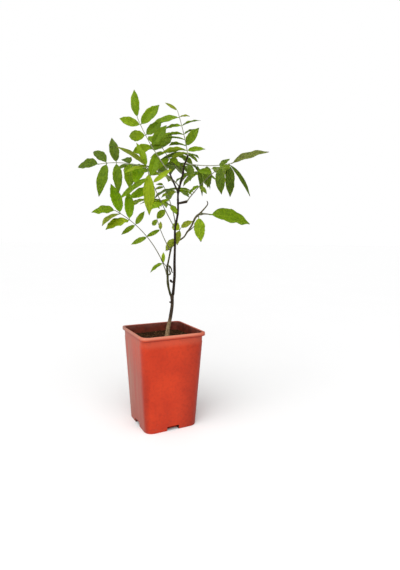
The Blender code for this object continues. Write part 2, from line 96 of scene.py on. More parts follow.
def pick(thing, kind, test):
    """In edit mode, selects just the points, edges or faces that pass the test."""
    bpy.ops.mesh.select_mode(type={"verts": "VERT", "edges": "EDGE", "faces": "FACE"}[kind])
    bpy.ops.mesh.select_all(action="DESELECT")
    shape = bmesh.from_edit_mesh(thing.data)
    for part in getattr(shape, kind):
        if test(part):
            part.select_set(True)
    bmesh.update_edit_mesh(thing.data)


def level(edge, height):
    """Whether both ends of an edge lie at a height."""
    return all(abs(point.co.z - height) < 0.01 * MM for point in edge.verts)


def new_box(sizes, place, turn=0.0):
    """A box turned about the upright axis, left in edit mode."""
    bpy.ops.object.select_all(action="DESELECT")
    bpy.ops.mesh.primitive_cube_add(size=1.0, location=place, rotation=(0, 0, turn))
    made = bpy.context.active_object
    made.scale = sizes
    bpy.ops.object.transform_apply(location=True, rotation=True, scale=True)
    bpy.ops.object.mode_set(mode="EDIT")
    return made


def round_off(size, steps):
    """Rounds the edges that are selected."""
    bpy.ops.mesh.bevel(offset=size, offset_type="OFFSET", segments=steps, profile=0.5)


def rounded_box(foot_side, top_side, foot, top, corner):
    """An upright box with round corners that widens from foot to top, left in edit mode."""
    made = new_box((foot_side, foot_side, top - foot), (0, 0, (foot + top) / 2))
    pick(made, "verts", lambda point: point.co.z > (foot + top) / 2)
    widen(top_side / foot_side)
    pick(made, "edges", lambda edge: not level(edge, foot) and not level(edge, top))
    round_off(corner, CORNER_STEPS)
    return made


def widen(share):
    """Scales what is selected about the pot's upright axis."""
    bpy.ops.transform.resize(value=(share, share, 1), center_override=(0, 0, 0))


def ease(thing, height, size):
    """Rounds the level edge round a box at a height."""
    pick(thing, "edges", lambda edge: level(edge, height))
    round_off(size, EASE_STEPS)


def open_end(thing, facing_up):
    """Deletes a box's upper face, or its lower one where facing_up is -1."""
    pick(thing, "faces", lambda face: face.normal.z * facing_up > 0.99)
    bpy.ops.mesh.delete(type="FACE")


def cut_across(place, way):
    """Cuts everything along a plane through a place, square to a way."""
    bpy.ops.mesh.select_all(action="SELECT")
    bpy.ops.mesh.bisect(plane_co=place, plane_no=way)


def face_out():
    """Turns every face outward and leaves edit mode."""
    bpy.ops.mesh.select_all(action="SELECT")
    bpy.ops.mesh.normals_make_consistent(inside=False)
    bpy.ops.object.mode_set(mode="OBJECT")


def bowed(point):
    """Where a point of the wall lies once the wall has bowed out between corners and lip."""
    share = min(max(point.z / LIP_FOOT, 0.0), 1.0)
    half = (BODY_SIDE_FOOT + (BODY_SIDE_TOP - BODY_SIDE_FOOT) * share) / 2 - BODY_CORNER
    rise = WALL_BOW * sin(pi * share) ** 0.7
    moved = point.copy()
    for out, along in ((0, 1), (1, 0)):
        if abs(point[along]) < half and abs(point[out]) > half:
            flat = 1 - (point[along] / half) ** 2
            waver = BOW_WAVER * noise.noise(Vector((point[along] * 60, point.z * 18, point[out] * 9)))
            moved[out] += rise * flat * (1 + waver) * (1 if point[out] > 0 else -1)
    return moved


def make_pot():
    """The outside, the lip and the inside as three boxes, joined edge to edge."""
    body = rounded_box(BODY_SIDE_FOOT, BODY_SIDE_TOP, 0, LIP_FOOT, BODY_CORNER)
    ease(body, 0, FOOT_EASE)
    open_end(body, 1)
    for height in (NECK_FOOT, NECK_FOOT + NECK_SLOPE):
        cut_across((0, 0, height), (0, 0, 1))
    pick(body, "verts", lambda point: point.co.z > NECK_FOOT + NECK_SLOPE / 2)
    widen(1 - 2 * NECK_DEPTH / BODY_SIDE_TOP)
    bpy.ops.object.mode_set(mode="OBJECT")

    lip = rounded_box(RIM_SIDE, RIM_SIDE, LIP_FOOT, POT_HEIGHT, LIP_CORNER)
    ease(lip, LIP_FOOT, LIP_EASE)
    ease(lip, POT_HEIGHT, LIP_EASE)
    open_end(lip, 1)
    open_end(lip, -1)
    bpy.ops.object.mode_set(mode="OBJECT")

    top = POT_HEIGHT - LIP_EASE
    liner = rounded_box(INSIDE_SIDE_FOOT, MOUTH_SIDE, POT_FLOOR, top, INSIDE_CORNER)
    open_end(liner, 1)
    pick(liner, "edges", lambda edge: level(edge, top))
    bpy.ops.mesh.extrude_region_move(TRANSFORM_OT_translate={"value": (0, 0, LIP_EASE)})
    widen(1 + 2 * LIP_EASE / MOUTH_SIDE)
    bpy.ops.mesh.select_all(action="SELECT")
    bpy.ops.mesh.flip_normals()
    bpy.ops.object.mode_set(mode="OBJECT")

    alone(body)
    lip.select_set(True)
    liner.select_set(True)
    bpy.ops.object.join()
    bpy.ops.object.mode_set(mode="EDIT")
    for height in (LIP_FOOT, POT_HEIGHT):
        pick(body, "edges", lambda edge: edge.is_boundary and level(edge, height))
        bpy.ops.mesh.bridge_edge_loops()
    for cut in range(1, WALL_CUTS + 1):
        share = cut / (WALL_CUTS + 1)
        aside = (share - 0.5) * BODY_SIDE_FOOT * CUTS_SPREAD
        cut_across((0, 0, LIP_FOOT * share), (0, 0, 1))
        cut_across((aside, 0, 0), (1, 0, 0))
        cut_across((0, aside, 0), (0, 1, 0))
    face_out()
    for point in body.data.vertices:
        point.co = bowed(point.co)
    return body


def cut_notches(piece):
    """A notch with rounded corners in the foot of each side, where water drains."""
    for side in range(4):
        angle = side * pi / 2
        place = Matrix.Rotation(angle, 3, "Z") @ Vector((0, -BODY_SIDE_FOOT / 2, 0))
        cutter = new_box(NOTCH_SIZE, place, angle)
        bpy.ops.mesh.select_all(action="SELECT")
        round_off(NOTCH_ROUND, NOTCH_STEPS)
        bpy.ops.object.mode_set(mode="OBJECT")
        alone(piece)
        cut = piece.modifiers.new("notch", "BOOLEAN")
        cut.operation = "DIFFERENCE"
        cut.solver = "EXACT"
        cut.object = cutter
        bpy.ops.object.modifier_apply(modifier=cut.name)
        bpy.data.objects.remove(cutter, do_unlink=True)


def smooth(thing, sharpest):
    """Shades a piece smooth over edges that turn less than an angle in degrees."""
    alone(thing)
    bpy.ops.object.shade_smooth_by_angle(angle=radians(sharpest))


class Wire:
    """What a node of a material puts out. Arithmetic on wires adds the Math nodes for it."""

    def __init__(self, tree, socket=None):
        self.tree = tree
        self.socket = socket

    def node(self, kind, settings=None, sockets=None, output=0):
        """A new node, its settings made first, then its sockets given values or links."""
        made = self.tree.nodes.new(kind)
        for name, value in (settings or {}).items():
            setattr(made, name, value)
        for name, value in (sockets or {}).items():
            if isinstance(value, Wire):
                self.tree.links.new(value.socket, made.inputs[name])
            else:
                made.inputs[name].default_value = value
        return Wire(self.tree, made.outputs[output])

    def math(self, operation, *others):
        sockets = dict(enumerate((self, *others)))
        return self.node("ShaderNodeMath", {"operation": operation}, sockets)

    def __add__(self, other):
        return self.math("ADD", other)

    def __sub__(self, other):
        return self.math("SUBTRACT", other)

    def __rsub__(self, other):
        return (self * -1.0).math("ADD", other)

    def __mul__(self, other):
        return self.math("MULTIPLY", other)

    def __pow__(self, other):
        return self.math("POWER", other)

    __radd__ = __add__
    __rmul__ = __mul__

    def ramp(self, low, high):
        """0 at low and below, 1 at high and above, smooth between them."""
        sockets = {"Value": self, "From Min": low, "From Max": high}
        return self.node("ShaderNodeMapRange", {"interpolation_type": "SMOOTHSTEP"}, sockets)

    def part(self, axis):
        return self.node("ShaderNodeSeparateXYZ", None, {"Vector": self}, "XYZ".index(axis))

    def stretched(self, sizes):
        """These coordinates with a different scale along each axis."""
        return self.node("ShaderNodeMapping", None, {"Vector": self, "Scale": sizes})

    def clouds(self, scale, detail=3.0, roughness=0.55):
        """Soft noise on these coordinates, about half everywhere."""
        sockets = {"Vector": self, "Scale": scale, "Detail": detail, "Roughness": roughness}
        return self.node("ShaderNodeTexNoise", None, sockets)

    def cells(self, scale):
        """The distance from the nearest of many scattered spots."""
        return self.node("ShaderNodeTexVoronoi", None, {"Vector": self, "Scale": scale})

    def between(self, low, high):
        """A mix of two colours, either of them a wire, by this wire."""
        sockets = {0: self, 6: tinted(low), 7: tinted(high)}
        return self.node("ShaderNodeMix", {"data_type": "RGBA"}, sockets, 2)


def tinted(colour):
    return colour if isinstance(colour, Wire) else (*colour, 1.0)


def start(name):
    """A new material, and its Object coordinates, which are metres in the pot's own frame."""
    made = bpy.data.materials.new(name)
    made.use_nodes = True
    return made, Wire(made.node_tree).node("ShaderNodeTexCoord", output=3)


def finish(made, colour, roughness, height=None, depth=1.0, **plain):
    """Gives a material its colour, a wire, its roughness, a value or a wire, its relief, a
    wire in units of depth, and the plain values of other sockets."""
    tree = made.node_tree
    shader = tree.nodes["Principled BSDF"]
    tree.links.new(colour.socket, shader.inputs["Base Color"])
    if isinstance(roughness, Wire):
        tree.links.new(roughness.socket, shader.inputs["Roughness"])
    else:
        shader.inputs["Roughness"].default_value = roughness
    if height:
        bump = height.node("ShaderNodeBump", None, {"Height": height, "Distance": depth})
        tree.links.new(bump.socket, shader.inputs["Normal"])
    for socket, value in plain.items():
        shader.inputs[socket.replace("_", " ")].default_value = value
    return made


ORANGE_RED = (0.62, 0.046, 0.010)
DEEP_ORANGE = (0.54, 0.036, 0.008)
BURNT_ORANGE = (0.28, 0.020, 0.007)
# A pale pink: the painted sheen of the bright surround on the left wall.
SHEEN_PINK = (0.40, 0.21, 0.165)
SALMON = (0.66, 0.215, 0.135)
DRIED_DIRT = (0.20, 0.10, 0.06)
# Dark browns of the inside: partly real stain, partly painted shade.
WET_STAIN_AND_SHADE = (0.095, 0.018, 0.009)
DRY_STAIN_AND_SHADE = (0.20, 0.032, 0.014)
# A paler, rosier colour for patches near the mouth of the inside.
ROSY_PALE = (0.24, 0.085, 0.065)


def plastic_outside():
    made, place = start("orange_red_plastic")
    x, y, z = place.part("X"), place.part("Y"), place.part("Z")
    streaks = place.stretched((1.0, 1.0, 0.12)).clouds(90, 4)
    blotches = place.clouds(26, 3)
    colour = blotches.ramp(0.35, 0.68).between(DEEP_ORANGE, ORANGE_RED)
    grime = place.clouds(230, 4, 0.65).ramp(0.42, 0.72) * 0.26
    # Painted shade: darker towards the right side, most at the bottom.
    right_side_shade = x.ramp(-2 * MM, 52 * MM) * (0.95 - 0.25 * z.ramp(0.0, 120 * MM))
    # Painted shade on the rounded front-left corner, in its lower part.
    corner = (x * -1.0).ramp(36 * MM, 44 * MM) * (1.0 - z.ramp(60 * MM, 140 * MM)) * 0.5
    # Painted shade, darker towards the bottom.
    low = (1.0 - z.ramp(0.0, 70 * MM)) * 0.14
    # Painted shade on the lip at the back.
    back_lip_shade = y.ramp(22 * MM, 46 * MM) * z.ramp(LIP_FOOT, LIP_FOOT + 1 * MM)
    # The real grime speckles and the painted shade here darken the plastic together.
    dirt_and_shade = (grime + right_side_shade + corner + low + back_lip_shade * 0.8).math("MINIMUM", 0.95)
    colour = dirt_and_shade.between(colour, BURNT_ORANGE)
    # Painted highlight: a paler band just under the lip.
    below_lip_highlight = z.ramp(131 * MM, 140 * MM) * 0.18
    # The lip is paler, partly from wear and partly as a painted highlight, and less so towards the right and
    # the back, which is painted shade.
    rim = z.ramp(LIP_FOOT + 1 * MM, POT_HEIGHT - 1.6 * MM) * (0.8 - 0.45 * x.ramp(26 * MM, 50 * MM))
    rim = rim * (1.0 - 0.75 * y.ramp(22 * MM, 46 * MM))
    colour = (below_lip_highlight + rim).between(colour, SALMON)
    # Painted sheen: the left wall turns pale pink in streaks, more towards the back, for the reflection of
    # the bright surround.
    sheen_wall = (x * -1.0).ramp(33 * MM, 40 * MM) * y.ramp(-38 * MM, -31 * MM)
    painted_sheen = sheen_wall * (0.35 + 0.65 * streaks.ramp(0.3, 0.7)) * (0.5 + 0.5 * y.ramp(-30 * MM, 25 * MM))
    colour = (painted_sheen * (0.75 + 0.2 * z.ramp(0.0, 90 * MM))).between(colour, SHEEN_PINK)
    # Painted shadow: a dark line just under the lip.
    lip_shadow = z.ramp(LIP_FOOT - 2.2 * MM, LIP_FOOT - 0.4 * MM) * (1.0 - z.ramp(LIP_FOOT, LIP_FOOT + 1.6 * MM))
    colour = (lip_shadow * 0.6).between(colour, BURNT_ORANGE)
    splash = place.clouds(240, 5, 0.7).ramp(0.58, 0.74) * (1.0 - z.ramp(4 * MM, 45 * MM)) * 0.5
    colour = splash.between(colour, DRIED_DIRT)
    scratches = place.stretched((1.0, 1.0, 0.04)).clouds(900, 2)
    roughness = 0.36 + 0.16 * blotches + 0.14 * painted_sheen + 0.1 * splash
    relief = place.clouds(1500, 2) * 0.35 + scratches * 0.5 + place.clouds(60, 2) * 2.0
    return finish(made, colour, roughness, relief, 0.00010, Specular_IOR_Level=0.2)


def plastic_inside():
    made, place = start("stained_and_shaded_plastic")
    # The inside is dark in patches between two browns, partly a real stain from wet compost and partly
    # painted shade.
    stain = place.clouds(70, 5, 0.65).ramp(0.35, 0.7)
    colour = stain.between(WET_STAIN_AND_SHADE, DRY_STAIN_AND_SHADE)
    # Paler and rosier in patches near the mouth.
    rosy_mouth = place.part("Z").ramp(141 * MM, 150 * MM) * place.clouds(130, 4).ramp(0.35, 0.65) * 0.6
    colour = rosy_mouth.between(colour, ROSY_PALE)
    return finish(made, colour, 0.55 + 0.2 * stain, place.clouds(500, 4), 0.0002, Specular_IOR_Level=0.25)


def inside(face):
    """Whether a face of the pot looks into it."""
    out = Vector((face.center.x, face.center.y, 0))
    reach = max(abs(out.x), abs(out.y))
    side = MOUTH_SIDE / 2 + 0.9 * WALL
    return face.center.z > POT_FLOOR / 2 and reach < side and face.normal.dot(out) <= 0


pot = make_pot()
pot.name = "pot_moulding"
cut_notches(pot)
for plastic in (plastic_outside(), plastic_inside()):
    pot.data.materials.append(plastic)
for face in pot.data.polygons:
    face.material_index = int(inside(face) and face.center.z < POT_HEIGHT - 2 * LIP_EASE)
smooth(pot, 35)
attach(pot, "root")
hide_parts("pot")


# ---------------------------------------------------------------- compost
# Loose, fibrous growing compost that fills the pot to a finger's breadth under the rim. It is
# one lumpy block with crumbs and bits of bark lying on it.

SOIL_LEVEL = 137.3 * MM
SOIL_LUMP = 2.0 * MM
SOIL_SETTLED = 0.4 * MM
SOIL_CALM = 9 * MM  # level this near the trunk, and uneven from SOIL_ROUGH on
SOIL_ROUGH = 22 * MM
SOIL_CUTS = 96
GAP = 0.3 * MM
SOIL_SIDE = MOUTH_SIDE - 1.9 * MM
SOIL_FOOT_SIDE = INSIDE_SIDE_FOOT - 2 * GAP
SOIL_CORNER = INSIDE_CORNER - GAP
TRUNK_FOOT = Vector((6.6, -2.4, 137.6)) * MM
CRUMBS = 900
CHIPS = 70
BITS_OFF_WALL = 3 * MM
BITS_OFF_TRUNK = 6 * MM
BIT_RISE = 0.12  # how far a bit's middle lies over the compost, as a share of its size


def soil_height(x, y):
    """Height of the compost's face: rolling lumps with a fine crumb on them."""
    away = (Vector((x, y)) - TRUNK_FOOT.xy).length
    rough = min(max((away - SOIL_CALM) / (SOIL_ROUGH - SOIL_CALM), 0.0), 1.0)
    rolling = noise.noise(Vector((x * 55, y * 55, 4.0)))
    lumps = noise.noise(Vector((x * 190, y * 190, 9.0))) * 0.55
    crumb = noise.noise(Vector((x * 700, y * 700, 2.0))) * 0.22
    return SOIL_LEVEL + SOIL_LUMP * ((rolling + lumps) * (0.2 + 0.8 * rough) + crumb) - SOIL_SETTLED


def drawn_in(x, y, half, corner):
    """A point of a square moved so that the square gets round corners."""
    reach = half - corner
    out = Vector((max(abs(x) - reach, 0), max(abs(y) - reach, 0)))
    if out.x > 0 and out.y > 0:
        out *= max(out.x, out.y) / out.length
    x_side, y_side = 1 if x > 0 else -1, 1 if y > 0 else -1
    return (min(abs(x), reach) + out.x) * x_side, (min(abs(y), reach) + out.y) * y_side


def make_compost():
    """A grid set to the compost's face, with its border drawn down to the pot's floor."""
    bpy.ops.object.select_all(action="DESELECT")
    bpy.ops.mesh.primitive_grid_add(
        x_subdivisions=SOIL_CUTS, y_subdivisions=SOIL_CUTS, size=SOIL_SIDE, location=(0, 0, SOIL_LEVEL)
    )
    made = bpy.context.active_object
    bpy.ops.object.transform_apply(location=True, rotation=True, scale=True)
    for point in made.data.vertices:
        x, y = drawn_in(point.co.x, point.co.y, SOIL_SIDE / 2, SOIL_CORNER)
        point.co = (x, y, soil_height(x, y))
    bpy.ops.object.mode_set(mode="EDIT")
    floor = POT_FLOOR + GAP
    pick(made, "edges", lambda edge: edge.is_boundary)
    bpy.ops.mesh.extrude_region_move(TRANSFORM_OT_translate={"value": (0, 0, floor - SOIL_LEVEL)})
    share = SOIL_FOOT_SIDE / SOIL_SIDE
    bpy.ops.transform.resize(value=(share, share, 0), center_override=(0, 0, floor))
    bpy.ops.mesh.edge_face_add()
    face_out()
    return made


def new_piece(name, points, faces, *skins, smooth=True):
    """A piece made straight from its points and faces."""
    mesh = bpy.data.meshes.new(name)
    mesh.from_pydata(points, [], faces)
    for skin in skins:
        mesh.materials.append(skin)
    if smooth:
        mesh.shade_smooth()
    made = bpy.data.objects.new(name, mesh)
    bpy.context.scene.collection.objects.link(made)
    return made


def scattered(name, count, seed, sizes, shape_of):
    """Many small bits lying on the compost, as one mesh. shape_of(chance, size) gives each
    bit's points and faces."""
    chance = random.Random(seed)
    points, faces = [], []
    reach = SOIL_SIDE / 2 - BITS_OFF_WALL
    while count:
        x, y = chance.uniform(-reach, reach), chance.uniform(-reach, reach)
        size = chance.uniform(*sizes) * chance.uniform(0.6, 1.0)
        if (Vector((x, y)) - TRUNK_FOOT.xy).length < BITS_OFF_TRUNK:
            continue
        spot = Vector((x, y, soil_height(x, y) + size * BIT_RISE))
        bit_points, bit_faces = shape_of(chance, size)
        faces += [[len(points) + i for i in face] for face in bit_faces]
        points += [spot + point for point in bit_points]
        count -= 1
    return new_piece(name, points, faces, smooth=False)


def thrown(chance, tilts, axis):
    """A turn any way about the upright after a tilt between two angles."""
    spin = Matrix.Rotation(chance.uniform(0, 2 * pi), 3, "Z")
    return spin @ Matrix.Rotation(chance.uniform(*tilts), 3, axis)


def crumb_shape(chance, size):
    """A rough lump of compost: a ball of 80 faces with its points pushed in and out."""
    shape = bmesh.new()
    bmesh.ops.create_icosphere(shape, subdivisions=2, radius=size / 2)
    turn = thrown(chance, (0, pi), "X")
    squash = Matrix.Diagonal((1.0, chance.uniform(0.6, 0.95), chance.uniform(0.5, 0.85)))
    points = [turn @ squash @ (point.co * chance.uniform(0.78, 1.12)) for point in shape.verts]
    faces = [[point.index for point in face.verts] for face in shape.faces]
    shape.free()
    return points, faces


def chip_shape(chance, size):
    """A splinter of bark or straw: a flat bar with ragged ends, nearly lying down."""
    long, wide, thick = size * 2.2, size * chance.uniform(0.3, 0.6), size * 0.16
    lie = thrown(chance, (-0.35, 0.35), "Y")
    points = []
    for along in (-0.5, -0.2, 0.15, 0.5):
        taper = 1 - abs(along) * chance.uniform(0.3, 1.2)
        for side, up in ((-1, -1), (1, -1), (1, 1), (-1, 1)):
            wobble = chance.uniform(0.8, 1.2)
            corner = Vector((along * long, side * wide / 2 * taper * wobble, up * thick / 2))
            points.append(lie @ corner)
    faces = [(3, 2, 1, 0), (12, 13, 14, 15)]
    for ring in (0, 4, 8):
        faces += [(ring + i, ring + (i + 1) % 4, ring + 4 + (i + 1) % 4, ring + 4 + i) for i in range(4)]
    return points, faces


def compost_finish(name, dark, light):
    """A rough dull crust in two browns, mottled by a fine grain."""
    made, place = start(name)
    grain = place.clouds(420, 6, 0.7)
    colour = grain.ramp(0.4, 0.72).between(dark, light)
    relief = grain + place.cells(900) * 0.5
    return finish(made, colour, 0.95, relief, 0.0006, Specular_IOR_Level=0.1)


compost = make_compost()
compost.name = "compost_block"
cut_notches(compost)
compost.data.materials.append(compost_finish("moist_compost", (0.015, 0.006, 0.002), (0.080, 0.034, 0.012)))
smooth(compost, 60)
crumbs = scattered("compost_crumbs", CRUMBS, 3, (1.0 * MM, 3.6 * MM), crumb_shape)
crumbs.data.materials.append(compost_finish("compost_crumb", (0.018, 0.008, 0.003), (0.12, 0.056, 0.020)))
chips = scattered("compost_chips", CHIPS, 8, (1.6 * MM, 4.0 * MM), chip_shape)
chips.data.materials.append(compost_finish("compost_chip", (0.07, 0.035, 0.014), (0.30, 0.165, 0.072)))
for piece in (compost, crumbs, chips):
    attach(piece, "root")
    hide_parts("compost")


# ---------------------------------------------------------------- trunk and limbs
# The thin woody stem forks into a leader and a side stem, which bends over into the right
# shoot, and three short twigs spring from them. A limb is a smooth run through its stations,
# (x, y, z, girth), and each limb's foot is sunk into the one below.

UP = Vector((0.0, 0.0, 1.0))
LIMB_STEPS = 14
TWIG_STEPS = 40
LIMBS = {
    "trunk": [
        (6.6, -2.4, 137.6, 9.8), (6.8, -2.5, 140.5, 7.8), (7.4, -2.8, 146.0, 6.8),
        (8.4, -3.4, 154.5, 6.2), (10.5, -4.5, 165.5, 5.6), (12.1, -5.3, 175.5, 5.4),
        (13.8, -6.2, 190.0, 5.0), (13.8, -6.2, 199.0, 5.2), (13.2, -5.9, 207.0, 6.6),
    ],
    "leader": [
        (15.0, -6.8, 207.4, 3.9), (16.2, -7.2, 222.0, 3.6), (17.1, -7.8, 238.0, 3.7),
        (16.6, -8.6, 260.0, 3.3), (16.7, -9.7, 284.0, 3.0), (16.7, -9.8, 311.0, 2.8),
        (19.2, -10.1, 323.0, 2.9), (21.5, -10.2, 340.0, 2.7), (21.3, -10.1, 360.0, 2.5),
        (22.3, -10.4, 371.0, 2.8), (25.5, -10.9, 382.0, 2.4), (29.2, -11.5, 397.0, 2.3),
        (31.0, -11.3, 408.0, 2.3), (37.9, -10.9, 424.6, 1.9),
    ],
    "side_stem": [
        (11.2, -4.8, 207.4, 3.3), (9.0, -3.7, 216.5, 2.9), (7.2, -3.9, 226.5, 3.5),
        (6.5, -4.6, 237.0, 2.7), (5.9, -4.3, 250.0, 3.1), (7.6, -3.9, 257.5, 2.4),
        (10.3, -2.1, 266.5, 2.2), (12.6, -1.0, 275.5, 2.2), (15.0, 0.2, 281.5, 2.1),
        (18.0, 0.7, 284.8, 2.0),
    ],
    "right_shoot": [
        (18.3, 0.8, 285.2, 2.0), (20.3, 0.6, 287.3, 2.0), (23.5, -2.2, 290.5, 1.9),
        (31.9, -10.0, 298.4, 1.9), (35.0, -14.5, 305.5, 1.9), (40.0, -20.9, 316.0, 2.2),
        (43.3, -27.2, 328.0, 2.5), (47.8, -34.0, 334.6, 2.0), (54.7, -43.3, 346.0, 1.4),
        (55.3, -44.8, 350.5, 1.2), (54.2, -44.1, 353.0, 1.0),
    ],
}
# What a limb grows from, so that its foot can be sunk there.
FOOT_IN = {
    "leader": Vector((13.4, -6.0, 203.5)) * MM,
    "side_stem": Vector((13.0, -5.7, 203.5)) * MM,
    "right_shoot": Vector((17.2, 0.6, 284.0)) * MM,
}

# A shoot springs from a limb at a height, and its heading and climb turn by sweep and arch.
Shoot = namedtuple("Shoot", "limb height heading climb sweep arch length girth tip_girth")
TWIGS = {
    "upper_left_twig": Shoot("leader", 367, 187, 60, 2, 2, 29, 2.3, 2.0),
    "right_spur": Shoot("leader", 350.5, -50, 6, 0, 6, 13.5, 3.0, 3.6),
    "shoot_spur": Shoot("right_shoot", 307, -5, 32, 0, 20, 15, 1.6, 0.9),
}


def aim(heading, climb):
    """The way of a heading and a climb."""
    h, c = radians(heading), radians(climb)
    return Vector((cos(h) * cos(c), sin(h) * cos(c), sin(c)))


def square_to(vector, axis):
    return (vector - axis * vector.dot(axis)).normalized()


def turned(vector, axis, angle):
    return Matrix.Rotation(radians(angle), 3, axis) @ vector


def through(stations, steps):
    """Smooth rows (x, y, z, girth) through stations, by Catmull-Rom."""
    ends = [stations[0], *stations, stations[-1]]
    rows = []
    for a, b, c, d in zip(ends, ends[1:], ends[2:], ends[3:]):
        for step in range(steps):
            t = step / steps
            rows.append([
                q + t / 2 * (r - p + t * (2 * p - 5 * q + 4 * r - s + t * (3 * (q - r) + s - p)))
                for p, q, r, s in zip(a, b, c, d)
            ])
    return [*rows, stations[-1]]


def arc(foot, shoot, steps):
    """Points of a shoot that turns by sweep and bends by arch on its way."""
    points = [foot]
    for step in range(steps):
        t = (step + 0.5) / steps
        way = aim(shoot.heading + shoot.sweep * t, shoot.climb + shoot.arch * t)
        points.append(points[-1] + way * shoot.length * MM / steps)
    return points


def run_through(stations, steps):
    """The centre line and the girths of a run through stations."""
    rows = through(stations, steps)
    return [Vector(row[:3]) * MM for row in rows], [row[3] * MM for row in rows]


class Limb:
    """A limb's centre line and girths, so that shoots can spring from it."""

    def __init__(self, points, girths):
        self.points = points
        self.girths = girths

    def at(self, height):
        """Centre, way and girth at a height, or at the tip where the height is None."""
        points, girths = self.points, self.girths
        if height is None:
            return points[-1], (points[-1] - points[-2]).normalized(), girths[-1]
        i = next(i for i in range(len(points)) if points[i + 1].z >= height * MM)
        share = (height * MM - points[i].z) / (points[i + 1].z - points[i].z)
        way = (points[i + 1] - points[i]).normalized()
        girth = girths[i] * (1 - share) + girths[i + 1] * share
        return points[i].lerp(points[i + 1], share), way, girth


def springing_point(limb, shoot, girth):
    """Where a shoot's foot sits on the limb that carries it."""
    centre, run, limb_girth = limb.at(shoot.height)
    way = aim(shoot.heading, shoot.climb)
    along = abs(way.dot(run))
    square = (1 - along * along) ** 0.5
    if shoot.height is None:
        return centre + way * (GAP + (limb_girth + girth) / 2 * square)
    return centre + way * (GAP + limb_girth / 2 + girth / 2 * along) / square


limbs = {}
for limb_name, stations in LIMBS.items():
    limbs[limb_name] = Limb(*run_through(stations, LIMB_STEPS))
for twig_name, twig in TWIGS.items():
    foot = springing_point(limbs[twig.limb], twig, twig.girth * MM)
    swell = twig.tip_girth - twig.girth
    girths = [(twig.girth + swell * i / TWIG_STEPS) * MM for i in range(TWIG_STEPS + 1)]
    limbs[twig_name] = Limb(arc(foot, twig, TWIG_STEPS), girths)
    FOOT_IN[twig_name] = limbs[twig.limb].at(twig.height)[0]


# ---------------------------------------------------------------- the leaves' plan
# Each leaf is compound: leaflets in pairs along a stalk and one at its end, but two leaves on
# the right shoot are one leaflet each. The near leaves are laid out one by one, and leaves of
# the usual make fill the far side.

BLADE_WIDTH = 0.35
# A leaflet's lie: its angle out from the stalk, its lift from the leaf's plane, its length,
# its width as a share of that, how far its face turns skyward, and its green.
Lie = namedtuple("Lie", "out lift length width skyward green", defaults=(BLADE_WIDTH, None, None))
